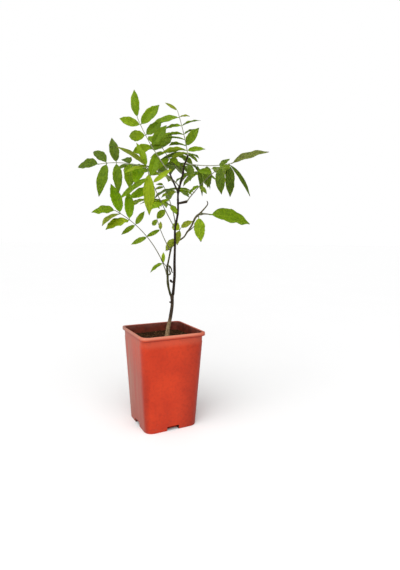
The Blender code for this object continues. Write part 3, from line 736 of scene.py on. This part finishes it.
# A leaf is a shoot whose face looks along (heading, climb). A height of None is the limb's
# tip, and a pair is its distance from the stalk's tip, a left leaflet and a right one.
Leaf = namedtuple("Leaf", "limb height heading climb sweep arch length face skyward green end pairs")
LEAVES = {
    "top_leaf": Leaf("leader", None, 130, 79, 0, -8, 71, (225, 5), 1.0, "fresh",
        Lie(39, 21, 23, 0.2, 0.2, green="olive"), [
        (11, Lie(89, 26, 47, 0.28, 0.4), Lie(90, -25, 17, 0.46, green="olive")),
        (25, Lie(79, 16, 29, 0.39, 0.5), Lie(88, -1, 31, 0.28, green="mid")),
        (39, Lie(71, 9, 29, 0.44), Lie(69, -22, 23, 0.35, 0.6, green="deep")),
        (47, Lie(63, -6, 41, 0.28, green="bright"), None),
        (57, Lie(61, -16, 34, 0.48, green="bright"), Lie(52, 11, 33, 0.41, 0.0, green="mid")),
        (64, Lie(77, 10, 41, 0.45, green="lime"), Lie(100, 9, 30, 0.27, 0.2)),
        (68, Lie(88, -12, 34, 0.43, green="lime"), None),
    ]),
    "upper_left_leaf": Leaf("upper_left_twig", None, 172, 49, -4, 17, 89, (225, 20), 0.0, "fresh",
        Lie(-15, -9, 42, 0.29), [
        (11, Lie(49, -11, 38, 0.31, green="bright"), Lie(65, -14, 42)),
        (27, Lie(62, -32, 38, 0.38, green="bright"), Lie(74, -26, 36, green="mid")),
        (44, Lie(75, -20, 36, green="bright"), Lie(66, -10, 39, green="mid")),
    ]),
    "left_leaf": Leaf("upper_left_twig", 383, 165, 32, -4, -44, 112, (240, 25), 0.0, "mid",
        Lie(-27, -24, 44, 0.42, green="deep"), [
        (12, Lie(65, -15, 51, 0.29), Lie(67, -18, 50, 0.29, green="deep")),
        (26, Lie(90, -20, 44, 0.3), Lie(83, 25, 38, green="deep")),
        (46, Lie(95, 0, 39, 0.42, green="fresh"), Lie(65, -35, 35, 0.4, green="deep")),
        (62, Lie(85, 15, 35, 0.44, green="vivid"), None),
    ]),
    "front_leaf": Leaf("leader", 311, 205, 50, -42, 22, 101, (235, 40), 0.2, "fresh",
        Lie(40, 32, 53, 0.19, 0.4, green="olive"), [
        (1, Lie(85, 12, 35, 0.31, 0.6, green="lime"), Lie(-1, -4, 38, 0.27, 0.5, green="bright")),
        (10, Lie(162, -1, 62, 0.26, green="lime"), None),
        (17, Lie(101, -1, 58, 0.15, 0.4), Lie(41, -20, 46, 0.31, 0.0)),
        (26, None, Lie(76, 13, 36, 0.2, green="lime")),
        (34, Lie(85, -28, 46, 0.28, green="vivid"), None),
        (58, Lie(80, 35, 25, 0.45, 0.6), None),
    ]),
    "lower_left_leaf": Leaf("side_stem", 236, 156, 72, -1, -44, 125, (240, 30), 0.1, "fresh",
        Lie(29, -11, 37, 0.46, 0.3), [
        (9, Lie(74, 34, 48, 0.33, 1.0, green="olive"), Lie(43, 11, 50, 0.34, 0.4, green="vivid")),
        (26, Lie(62, 18, 43, 0.46, 0.6, green="lime"), Lie(53, 1, 50, 0.28, green="vivid")),
        (38, Lie(75, -13, 27, 0.27, green="mid"), Lie(80, 10, 27, 0.31, green="mid")),
        (64, Lie(77, -7, 28, 0.27, green="mid"), None),
        (112, Lie(99, -7, 25, 0.45, 0.7, green="mid"), Lie(25, -19, 20, 0.28)),
    ]),
    "low_inner_leaf": Leaf("side_stem", 277, 185, 56, 1, 16, 52, (230, 30), 0.1, "mid",
        Lie(-56, -35, 23, 0.44), [
        (1, Lie(124, -28, 17, 0.42), None),
        (17, Lie(99, -5, 27, 0.23), Lie(22, 10, 13, 0.42, green="olive")),
    ]),
    "inner_leaf": Leaf("leader", 317.5, 115, 76, 3, -19, 62, (235, 25), 0.4, "mid",
        Lie(39, -18, 15, 0.41), [
        (3, Lie(79, 6, 16, 0.28, 0.1), None),
        (17, Lie(67, -30, 13, 0.45, 0.2), Lie(85, -14, 15, 0.41, 0.1, green="deep")),
        (27, Lie(80, -10, 21, green="fresh"), None),
        (37, None, Lie(165, 28, 20, 0.45)),
    ]),
    "right_leaf": Leaf("right_spur", None, -50, 50, 2, -16, 71, (255, 35), 0.2, "deep",
        Lie(110, -60, 58, 0.46, 0.6, green="bright"), [
        (1, Lie(31, -25, 24, 0.44), Lie(117, -4, 40, 0.35, 0.8)),
        (16, Lie(121, -5, 33, 0.28, green="mid"), Lie(170, -40, 30)),
        (42, Lie(160, -9, 29, 0.42, 0.5, green="mid"), Lie(81, 17, 21, 0.32, 0.5)),
    ]),
    "far_right_leaf": Leaf("leader", 412.5, -20, -9, 4, 23, 73, (250, 45), 0.2, "deep",
        Lie(-5, 19, 61, 0.27, 0.0, green="dull"), [
        (4, None, Lie(56, -34, 61, 0.15)),
        (5, None, Lie(100, -41, 51, 0.29, 0.45)),
        (40, None, Lie(91, -24, 36)),
        (55, None, Lie(73, -30, 49, 0.14)),
        (67, Lie(50, -35, 33), Lie(85, -10, 32)),
    ]),
    "behind_leaf": Leaf("leader", 396, 120, 40, -2, 16, 61, (240, 35), 0.2, "fresh",
        Lie(10, -15, 40, 0.42), [
        (4, Lie(52, -10, 30, 0.5, green="mid"), Lie(42, -5, 40, 0.45)),
        (14, Lie(70, -10, 26), Lie(80, -17, 30, 0.4, green="bright")),
        (26, Lie(105, 0, 26, 0.4), Lie(165, 12, 24, 0.4, green="mid")),
    ]),
    "young_leaf": Leaf("right_shoot", 285.5, -30, 71, 0, -10, 26, (235, 35), 0.1, "olive",
        Lie(-30, -5, 22, 0.42), [
        (4, Lie(80, -20, 25, 0.5, green="lime"), Lie(160, 7, 25, 0.42)),
        (19, Lie(160, 7, 26, 0.42), None),
    ]),
    "broad_leaf": Leaf("right_shoot", 334, -27, 2, 0, -10, 13, (235, 40), 0.0, "fresh",
        Lie(11, -11, 71, 0.40), []),
    "hanging_leaf": Leaf("right_shoot", 332, -90, -40, 0, -50, 3, (240, 10), 0.0, "bright",
        Lie(5, 20, 39, 0.41), []),
}

# The leaves of the usual make: height on the leader, heading, climb, length and the seed of
# their small differences.
FAR_LEAVES = {
    "far_leaf_low": (334, 102, 40, 92, 11),
    "far_leaf_middle": (356, 68, 40, 84, 30),
    "far_leaf_left": (376, 128, 48, 86, 20),
    "far_leaf_right": (382, 35, 40, 82, 50),
    "far_leaf_upper": (398, 78, 40, 84, 40),
    "far_leaf_top": (423, 76, 32, 74, 60),
}
FAR_SWEEP = 10
FAR_ARCH = -45
FAR_SKYWARD = 0.1
FAR_PAIRS = 4
FAR_FIRST_PAIR = 10
FAR_STEP = 17
FAR_END_SIZE = 44
FAR_SHORTENING = 0.93
FAR_OUT = 66
FAR_LIFT = -14
FAR_SPREAD = 8


def usual_leaf(height, heading, climb, length, seed):
    """A leaf whose leaflets shorten evenly from the tip, its face turned up and outward."""
    chance = random.Random(seed)
    greens = random.Random(-seed)

    def lie(size):
        out = FAR_OUT + chance.uniform(-FAR_SPREAD, FAR_SPREAD)
        lift = FAR_LIFT + chance.uniform(-FAR_SPREAD, FAR_SPREAD)
        return Lie(out, lift, size, green=greens.choice(("mid", "fresh", "fresh", "bright")))

    sizes = [FAR_END_SIZE * FAR_SHORTENING ** (pair + 1) for pair in range(FAR_PAIRS)]
    pairs = [
        (FAR_FIRST_PAIR + FAR_STEP * pair, lie(size), lie(size))
        for pair, size in enumerate(sizes)
    ]
    end = Lie(chance.uniform(-FAR_SPREAD, FAR_SPREAD), FAR_LIFT, FAR_END_SIZE)
    face = (heading + 180, 90 - climb - FAR_ARCH / 2)
    bend = (FAR_SWEEP, FAR_ARCH)
    return Leaf("leader", height, heading, climb, *bend, length, face, FAR_SKYWARD, "mid", end, pairs)


for leaf_name, row in FAR_LEAVES.items():
    LEAVES[leaf_name] = usual_leaf(*row)


# ---------------------------------------------------------------- bark
# A closed skin round each limb, with lengthwise ridges, cracks, pores and a ring where each
# leaf or twig springs. The trunk stands on a small root flare, where it is corky, tan and
# splashed with soil, and the limbs above are dark or olive brown.

BARK_FULLNESS = {"trunk": 1.04, "right_shoot": 1.3}  # girth over the bark, as a share of the limb's
USUAL_FULLNESS = 1.2
TRUNK_SIDES = 40
LIMB_SIDES = 24
TRUNK_SUNK = 3 * MM
RING_SWELL = 0.22
RING_SPAN = 1.6 * MM
ROOT_FLARE = 0.55
ROOT_SPAN = 3.0 * MM
ROOTS = 5
CORK_END = (160 * MM, 184 * MM)  # the heights between which the corky foot ends
CORK = ((0.18, 0.115, 0.06), (0.54, 0.385, 0.215))
SPLASH_END = (138 * MM, 146 * MM)
SPLASHED_SOIL = (0.10, 0.048, 0.022)
PORE = (0.30, 0.24, 0.16)
# Each limb's bark: its two shades and its dark patches.
BARKS = {
    "trunk": ((0.020, 0.013, 0.008), (0.075, 0.050, 0.030), (0.012, 0.008, 0.006)),
    "leader": ((0.007, 0.004, 0.003), (0.030, 0.018, 0.010), (0.004, 0.003, 0.002)),
    "side_stem": ((0.020, 0.021, 0.006), (0.080, 0.078, 0.022), (0.014, 0.011, 0.006)),
    "right_shoot": ((0.040, 0.034, 0.010), (0.14, 0.115, 0.040), (0.03, 0.016, 0.008)),
    "upper_left_twig": ((0.012, 0.008, 0.005), (0.05, 0.034, 0.016), (0.008, 0.005, 0.004)),
    "right_spur": ((0.012, 0.008, 0.005), (0.05, 0.034, 0.018), (0.008, 0.005, 0.004)),
    "shoot_spur": ((0.04, 0.03, 0.012), (0.13, 0.10, 0.045), (0.03, 0.016, 0.008)),
}


def rings_along(points, girths, sides, relief=None):
    """Points and faces of a closed tube. relief(angle, along, spot) gives a share by which a
    point moves out."""
    runs = [(b - a).normalized() for a, b in zip(points, points[1:])]
    ways = [runs[0]] + [(a + b).normalized() for a, b in zip(runs, runs[1:])] + [runs[-1]]
    out = ways[0].orthogonal()
    along = 0.0
    spots = []
    for i, (at, way, girth) in enumerate(zip(points, ways, girths)):
        if i:
            along += (at - points[i - 1]).length
        out = square_to(out, way)
        beside = way.cross(out)
        for side in range(sides):
            angle = 2 * pi * side / sides
            ray = out * cos(angle) + beside * sin(angle)
            swell = relief(angle, along, at + ray * girth / 2) if relief else 0.0
            spots.append(at + ray * girth / 2 * (1 + swell))
    quads = []
    for ring in range(len(points) - 1):
        for side in range(sides):
            low, high = ring * sides, (ring + 1) * sides
            after = (side + 1) % sides
            quads.append((low + side, low + after, high + after, high + side))
    last = (len(points) - 1) * sides
    caps = [list(range(sides))[::-1], list(range(last, last + sides))]
    return spots, quads + caps


def bark_finish(name, low, high, dark, corky):
    """Young bark with fine lengthwise grain and pale pores, and cork and soil at the foot."""
    made, place = start(name)
    grain = place.stretched((1.0, 1.0, 0.18)).clouds(900, 5, 0.65)
    colour = grain.ramp(0.36, 0.66).between(low, high)
    if corky:
        height = place.part("Z")
        cork = 1.0 - (height + place.clouds(120, 3) * (14 * MM)).ramp(*CORK_END)
        colour = cork.between(colour, grain.ramp(0.3, 0.7).between(*CORK))
        splashed = (1.0 - height.ramp(*SPLASH_END)) * place.clouds(300, 4).ramp(0.3, 0.6) * 0.75
        colour = splashed.between(colour, SPLASHED_SOIL)
    patches = place.clouds(230, 3).ramp(0.55, 0.7) * 0.6
    colour = patches.between(colour, dark)
    pores = (1.0 - place.stretched((1.0, 1.0, 0.6)).cells(420).ramp(0.10, 0.24)) * 0.25
    colour = pores.between(colour, PORE)
    return finish(made, colour, 0.62 + 0.25 * grain, grain + pores, 0.0004, Specular_IOR_Level=0.15)


def bark_relief(name, rings):
    """How bark swells: lengthwise ridges, cracks, a ring where each leaf or twig springs, and
    the roots at the trunk's foot."""
    chance = random.Random(name)
    shift = chance.uniform(0, 50)

    def relief(angle, along, spot):
        ray = Vector((cos(angle), sin(angle), 0)) * 2.2
        ridges = noise.noise(ray + Vector((0, 0, along * 90 + shift))) * 0.07
        cracks = abs(noise.noise(ray * 3.1 + Vector((0, 0, along * 260 + shift)))) * -0.05
        swell = sum(RING_SWELL * exp(-(((spot.z - height) / RING_SPAN) ** 2)) for height in rings)
        if name == "trunk":
            roots = 0.5 + 0.5 * cos(ROOTS * angle + 1.2 * sin(2 * angle))
            swell += ROOT_FLARE * roots * exp(-along / ROOT_SPAN)
        return ridges + cracks + swell

    return relief


for limb_name, limb in limbs.items():
    grown = [shoot for shoot in (*LEAVES.values(), *TWIGS.values()) if shoot.limb == limb_name]
    relief = bark_relief(limb_name, [shoot.height * MM for shoot in grown if shoot.height])
    points = [FOOT_IN.get(limb_name, limb.points[0] - UP * TRUNK_SUNK)] + limb.points
    fullness = BARK_FULLNESS.get(limb_name, USUAL_FULLNESS)
    girths = [girth * fullness for girth in limb.girths[:1] + limb.girths]
    sides = TRUNK_SIDES if limb_name == "trunk" else LIMB_SIDES
    bark = bark_finish(limb_name + "_bark", *BARKS[limb_name], limb_name == "trunk")
    piece = new_piece(limb_name + "_bark", *rings_along(points, girths, sides, relief), bark)
    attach(piece, "root")
    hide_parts(limb_name)


# ---------------------------------------------------------------- small growth
# Dry growth and buds on the stems, in the bark of the stem that carries them: two withered
# stalks that curl across the crotch, a dry thread beside the lowest leaf, a stub and two buds.
# Each is a tube through its stations, (x, y, z, girth), closed at both ends.

GROWTH_STEPS = 8
GROWTH_SIDES = 12
SMALL_GROWTH = {
    "upper_curl": [(7.0, -4.8, 252.8, 2.5), (9.8, -5.6, 252.0, 2.4), (12.2, -6.0, 247.8, 2.1),
                   (13.0, -6.2, 244.0, 1.7), (14.6, -6.6, 241.8, 1.2)],
    "lower_curl": [(9.4, -5.6, 252.0, 1.6), (8.4, -6.2, 246.4, 1.7), (10.0, -6.4, 242.7, 2.2),
                   (10.0, -6.4, 240.0, 2.6), (7.3, -5.4, 238.5, 2.6)],
    "dry_thread": [(6.0, -4.3, 250.0, 1.4), (1.2, -3.2, 256.3, 1.1), (-3.6, -2.0, 262.0, 0.9)],
    "dry_stub": [(13.2, -1.0, 279.4, 1.6), (8.6, -2.8, 278.0, 1.2), (4.6, -3.2, 276.0, 0.7)],
    "leader_bud": [(15.8, -7.2, 226.8, 2.0), (12.4, -7.2, 227.8, 3.4), (10.8, -7.2, 229.6, 3.6),
                   (9.8, -7.2, 231.4, 1.2)],
    "trunk_bud": [(13.2, -6.1, 194.0, 2.2), (10.8, -6.1, 194.8, 2.7), (9.7, -6.1, 195.6, 2.3),
                  (9.5, -6.1, 196.2, 0.6)],
}
GROWTH_CARRIERS = {"trunk_bud": "trunk", "leader_bud": "leader"}

for growth_name, stations in SMALL_GROWTH.items():
    points, girths = run_through(stations, GROWTH_STEPS)
    carrier = GROWTH_CARRIERS.get(growth_name, "side_stem")
    bark = bpy.data.materials[carrier + "_bark"]
    piece = new_piece(growth_name, *rings_along(points, girths, GROWTH_SIDES), bark)
    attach(piece, "root")
    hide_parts(carrier)


# ---------------------------------------------------------------- leaf stalks and leaflets
# A leaf's stalk is a thin tube with a swollen foot, and the leaflets sit straight on it. A
# leaflet is a thin folded blade with sunk side veins, a midrib that stands out below, a wavy,
# slightly toothed edge and a drawn-out tip that has dried brown.

STALK_STEPS = 8
STALK_FINE = 5  # rings to each of the stalk's steps
STALK_SIDES = 10
STALK_GIRTH = 1.9 * MM
STALK_TIP_GIRTH = 1.2 * MM
SLIMMER = 0.84  # the real stalk's girth as a share of the room it has
STOUT_STALKS = {"broad_leaf": 1.8}
STALK_SUNK = 0.3  # the stalk's end, as a share of the way from its limb's middle to its foot
STALK_SWELL = 0.75
STALK_SWELL_SPAN = 2.6  # millimetres
BLADE_CURL = radians(30)
BLADE_RISE = 0.25
BLADE_FOLD = 0.22
BLADE_NECK = 0.06
BLADE_NECK_WIDTH = 0.07
BLADE_FULLNESS = 3.22
BLADE_BELLY = 0.7
BLADE_POINT = 0.95
BLADE_SUNK = 0.5 * MM
BLADE_REACH = 1.03  # the real blade's length as a share of the room it has
BLADE_ROWS = 34
BLADE_COLUMNS = 7  # from the midrib to each edge
BLADE_THIN = 0.011  # thickness as a share of the length
VEINS = 8
VEINED = 0.86  # the share of the blade that the side veins take up
VEIN_SLANT = 0.16
VEIN_CURVE = 1.2
VEIN_SUNK = 0.011
RIB_RISE = 0.010
RIB_SPAN = 0.012
WAVES = (2.2, 3.6)
WAVE_RISE = (0.07, 0.18)
TOOTH = 0.11
FINE_TOOTH = 0.09
TWIST = 9


def blade_outline(share):
    """Half width of a blade at a share of its length: full near the foot, drawn to a point."""
    grown = max(share - BLADE_NECK, 0.0) / (1 - BLADE_NECK)
    width = BLADE_FULLNESS * grown**BLADE_BELLY * max(1 - grown, 0.0) ** BLADE_POINT
    drip = 1 - 0.15 * exp(-(((share - 0.9) / 0.07) ** 2))
    return max(BLADE_NECK_WIDTH * (1 - 0.6 * share), width * drip)


def midrib(foot, way, face, length, share):
    """The point and the upward way on a leaflet's midrib, which rises and then bends down."""
    start = BLADE_CURL * BLADE_RISE
    angle = start - BLADE_CURL * share
    along = (sin(start) - sin(angle)) / BLADE_CURL
    over = (cos(angle) - cos(start)) / BLADE_CURL
    point = foot + (way * along + face * over) * length
    return point, face * cos(angle) - way * sin(angle)


def leaflet_place(leaf, points, back, side, lie):
    """Foot, way and face of one leaflet on its stalk's points."""
    place = (1 - back / leaf.length) * STALK_STEPS
    step = min(int(place), STALK_STEPS - 1)
    run = (points[step + 1] - points[step]).normalized()
    face = square_to(aim(*leaf.face), run)
    way = turned(run, face, side * lie.out)
    way = turned(way, way.cross(face), lie.lift)
    skyward = leaf.skyward if lie.skyward is None else lie.skyward
    foot = points[step].lerp(points[step + 1], place - step) - way * BLADE_SUNK
    return foot, way, square_to(face.lerp(UP, skyward), way)


def vein_depth(share, across):
    """How far the upper face sinks, 0 to 1, on the side veins, which run out and forward."""
    phase = (share - VEIN_SLANT * across**VEIN_CURVE) * VEINS / VEINED
    nearest = abs((phase + 0.5) % 1 - 0.5)
    return exp(-((nearest / 0.13) ** 2)) * (1 - across**4)


def blade_grid(foot, way, face, length, width, chance):
    """Upper and lower points of a blade, row by row from one edge to the other."""
    beside = way.cross(face)
    waves = chance.uniform(*WAVES)
    phase = (chance.uniform(0, 2 * pi), chance.uniform(0, 2 * pi))
    wave_rise = chance.uniform(*WAVE_RISE) * width
    twist = radians(chance.uniform(-TWIST, TWIST))
    rows = []
    for row in range(BLADE_ROWS + 1):
        share = (1 - cos(pi * row / BLADE_ROWS)) / 2 * 0.35 + row / BLADE_ROWS * 0.65
        half = width * length / 2 * blade_outline(share)
        centre, lift = midrib(foot, way, face, length, share)
        run = lift.cross(beside) * -1
        roll = Matrix.Rotation(twist * share, 3, run)
        wide, up = roll @ beside, roll @ lift
        upper, lower = [], []
        for column in range(-BLADE_COLUMNS, BLADE_COLUMNS + 1):
            across = column / BLADE_COLUMNS
            v = abs(across)
            side = 0 if across < 0 else 1
            wavy = wave_rise * length * sin(2 * pi * waves * share + phase[side]) * v**2
            wavy *= min(1.0, 4 * share * (1 - share))
            edge_spot = Vector((share * 8, phase[side] * 3, 0.0))
            teeth = TOOTH * noise.noise(edge_spot) + FINE_TOOTH * noise.noise(edge_spot * 3)
            fold = half * BLADE_FOLD * (v**1.25)
            spot = centre + wide * across * half * (1 + teeth * v**3) + up * (fold + wavy * 0.35)
            inner = v < 1  # the two skins meet along the edge
            thin = inner * length * BLADE_THIN / 2
            sunk = inner * VEIN_SUNK * length * vein_depth(share, v) * min(half / (0.1 * length), 1.0)
            rib = inner * RIB_RISE * length * exp(-((across * half / (RIB_SPAN * length)) ** 2))
            rib *= 1.1 - share
            upper.append(spot + up * (thin - sunk - rib * 0.5))
            lower.append(spot - up * (thin + sunk * 0.7 + rib * 1.6))
        rows.append((share, upper, lower))
    return rows


class Blades:
    """The leaflets of one leaf, gathered into one mesh."""

    def __init__(self):
        self.points, self.faces, self.greens, self.places = [], [], [], []

    def add(self, rows, green):
        """Adds a blade. A face's place is (along, across), with 1 more along for its underside."""
        last = 2 * BLADE_COLUMNS
        index = []
        for share, upper, lower in rows:
            top, under = [], []
            for column, (over, below) in enumerate(zip(upper, lower)):
                top.append(len(self.points))
                self.points.append(over)
                under.append(top[-1])
                if 0 < column < last:
                    under[-1] = len(self.points)
                    self.points.append(below)
            index.append((share, top, under))
        for (share, top, under), (later, top_after, under_after) in zip(index, index[1:]):
            for column in range(last):
                for below, near, far, a, b in (
                    (0, top, top_after, column, column + 1),
                    (1, under, under_after, column + 1, column),
                ):
                    ways = ((share, a), (later, a), (later, b), (share, b))
                    places = [(below + along, across / last) for along, across in ways]
                    self.face((near[a], far[a], far[b], near[b]), places, green)
        for (share, top, under), way in ((index[0], 1), (index[-1], -1)):
            ring = top + under[-2:0:-1]
            self.face(ring[::way], [(share, 0.5)] * len(ring), green)

    def face(self, corners, places, green):
        self.faces.append(corners)
        self.places.append(places)
        self.greens.append(green)


GREENS = {
    "lime": ((0.21, 0.30, 0.005), (0.29, 0.38, 0.012)),
    "olive": ((0.135, 0.175, 0.010), (0.19, 0.235, 0.022)),
    "dull": ((0.108, 0.128, 0.020), (0.150, 0.175, 0.032)),
    "bright": ((0.145, 0.235, 0.002), (0.205, 0.30, 0.007)),
    "vivid": ((0.145, 0.270, 0.001), (0.195, 0.340, 0.003)),
    "fresh": ((0.110, 0.195, 0.001), (0.16, 0.255, 0.004)),
    "mid": ((0.085, 0.155, 0.002), (0.128, 0.21, 0.006)),
    "deep": ((0.056, 0.097, 0.004), (0.09, 0.145, 0.009)),
}


def leaf_finish(name, dark, light):
    """A leaf's skin: paler veins, a darker edge, a dried tip, and a dull underside, paler partly in its own
    colour and partly as painted light shining through the leaf.
    """
    made, place = start(name + "_leaf")
    blade = place.node("ShaderNodeUVMap", {"uv_map": "blade"})
    along, across = blade.part("X"), blade.part("Y")
    under = along.ramp(1.0, 1.0001)
    share = along - under
    edge = (across * 2.0 - 1.0).math("ABSOLUTE")
    mottle = place.clouds(170, 4, 0.6)
    colour = mottle.ramp(0.32, 0.68).between(dark, light)
    phase = (share - VEIN_SLANT * edge**VEIN_CURVE) * (VEINS / VEINED) + 0.5
    from_vein = (phase.math("FRACT") - 0.5).math("ABSOLUTE")
    side_vein = 1.0 - from_vein.ramp(0.03, 0.12)
    rib = 1.0 - edge.ramp(0.03, 0.10)
    veins = (side_vein * 0.45).math("MAXIMUM", rib * 0.8)
    pale = tuple(1.35 * value + 0.01 for value in light)
    colour = (veins * 0.5).between(colour, pale)
    # Painted light: the underside's pale yellow-green also stands for light shining through the leaf.
    dull = tuple(0.85 * value + 0.02 for value in light)
    colour = (under * 0.6).between(colour, dull)
    colour = (edge.ramp(0.86, 1.0) * 0.35).between(colour, dark)
    dried = (share + mottle * 0.06).ramp(0.965, 1.02)
    colour = dried.between(colour, (0.09, 0.055, 0.03))
    relief = place.cells(1400) * 0.6 - side_vein * 0.5
    sheen = 0.42 + 0.18 * mottle + 0.12 * under
    return finish(
        made, colour, sheen, relief, 0.00012, Specular_IOR_Level=0.1, Subsurface_Weight=0.7,
        Subsurface_Radius=(1.0, 1.0, 0.5), Subsurface_Scale=1.5 * MM,
    )


leaf_skins = {green: leaf_finish(green, *pair) for green, pair in GREENS.items()}
green_order = list(GREENS)


def stalk_finish(name, low, high):
    """A slightly streaky skin in two shades."""
    made, place = start(name)
    streaks = place.clouds(260, 4)
    colour = streaks.ramp(0.35, 0.65).between(low, high)
    return finish(made, colour, 0.55, streaks, 0.0002, Specular_IOR_Level=0.25)


pale_stalk = stalk_finish("pale_stalk", (0.22, 0.22, 0.14), (0.36, 0.37, 0.25))
grey_stalk = stalk_finish("grey_stalk", (0.095, 0.095, 0.05), (0.20, 0.195, 0.12))
PALE_STALKED = ("top_leaf", "left_leaf", "upper_left_leaf", "far_right_leaf")

for leaf_name, leaf in LEAVES.items():
    limb = limbs[leaf.limb]
    foot = springing_point(limb, leaf, STALK_GIRTH)
    coarse = arc(foot, leaf, STALK_STEPS)
    points = [limb.at(leaf.height)[0].lerp(foot, STALK_SUNK)]
    points += [Vector(row) for row in through(coarse, STALK_FINE)]
    slimmer = SLIMMER * STOUT_STALKS.get(leaf_name, 1.0)
    girths = []
    for i in range(len(points)):
        share = i / (len(points) - 1)
        girth = (STALK_GIRTH + (STALK_TIP_GIRTH - STALK_GIRTH) * share) * slimmer
        swell = STALK_SWELL * exp(-((share * leaf.length / STALK_SWELL_SPAN) ** 2))
        girths.append(girth * (1 + swell))
    skin = pale_stalk if leaf_name in PALE_STALKED else grey_stalk
    stalk = new_piece(leaf_name + "_stalk", *rings_along(points, girths, STALK_SIDES), skin)
    blades = Blades()
    lies = [(0, 1, leaf.end)]
    for back, left, right in leaf.pairs:
        lies += [(back, side, lie) for side, lie in ((1, left), (-1, right)) if lie]
    for back, side, lie in lies:
        chance = random.Random(f"{leaf_name} {back} {side}")
        place = leaflet_place(leaf, coarse, back, side, lie)
        green = green_order.index(lie.green or leaf.green)
        blades.add(blade_grid(*place, lie.length * BLADE_REACH * MM, lie.width, chance), green)
    piece = new_piece(leaf_name + "_blades", blades.points, blades.faces, *leaf_skins.values())
    piece.data.polygons.foreach_set("material_index", blades.greens)
    layer = piece.data.uv_layers.new(name="blade")
    layer.uv.foreach_set("vector", [value for places in blades.places for place in places for value in place])
    for made in (stalk, piece):
        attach(made, "root")
        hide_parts(leaf_name)


# ---------------------------------------------------------------- floor, light and camera
# A plain white studio: a pale floor that runs out of sight, an even white surround, a wide
# soft light over the whole floor, and a softbox close to the plant on its left.

FLOOR_SIDE = 400.0
SURROUND_FILL = 0.35  # what the surround gives the plant, of the white that it shows
bpy.ops.object.select_all(action="DESELECT")
bpy.ops.mesh.primitive_plane_add(size=FLOOR_SIDE)
floor = bpy.context.active_object
floor.name = "studio_floor"
made, place = start("pale_floor")
shade = place.clouds(3).between((0.95, 0.95, 0.95), (0.97, 0.97, 0.97))
floor.data.materials.append(finish(made, shade, 0.8, Specular_IOR_Level=0.0))

world = bpy.data.worlds.new("white_studio")
bpy.context.scene.world = world
world.use_nodes = True
surround = world.node_tree.nodes["Background"]
surround.inputs["Color"].default_value = (1.0, 1.0, 1.0, 1.0)
seen = Wire(world.node_tree).node("ShaderNodeLightPath")
strength = seen * (1.0 - SURROUND_FILL) + SURROUND_FILL
world.node_tree.links.new(strength.socket, surround.inputs["Strength"])


def lamp(name, kind, place, target, **settings):
    """A light that looks from a place to a target."""
    light = bpy.data.lights.new(name, kind)
    for setting, value in settings.items():
        setattr(light, setting, value)
    made = bpy.data.objects.new(name, light)
    made.location = place
    made.rotation_euler = (Vector(target) - Vector(place)).to_track_quat("-Z", "Y").to_euler()
    bpy.context.scene.collection.objects.link(made)


PLANT_MIDDLE = (0.0, 0.0, 0.25)
lamp("wide_light", "SUN", (-0.9, -1.2, 2.6), PLANT_MIDDLE, angle=radians(70), energy=2.55)
lamp("softbox", "AREA", (-0.42, -0.62, 0.62), PLANT_MIDDLE, shape="SQUARE", size=0.4, energy=0.9)

CAMERA_PLACE = Vector((-0.2397, -0.5888, 0.2883))
CAMERA_YAW, CAMERA_PITCH, CAMERA_ROLL = radians(27.51), radians(5.9), radians(0.59)
IMAGE_HEIGHT = 570
FOCAL_PIXELS = 400
SENSOR = 36.0
lens = bpy.data.cameras.new("studio_camera")
lens.sensor_width = SENSOR
lens.sensor_fit = "AUTO"
lens.lens = SENSOR * FOCAL_PIXELS / IMAGE_HEIGHT
camera = bpy.data.objects.new("studio_camera", lens)
turn = Matrix.Rotation(-CAMERA_YAW, 4, "Z") @ Matrix.Rotation(pi / 2 - CAMERA_PITCH, 4, "X")
turn @= Matrix.Rotation(CAMERA_ROLL, 4, "Z")
camera.matrix_world = Matrix.Translation(CAMERA_PLACE) @ turn
bpy.context.scene.collection.objects.link(camera)
bpy.context.scene.camera = camera
bpy.context.scene.view_settings.view_transform = "Standard"
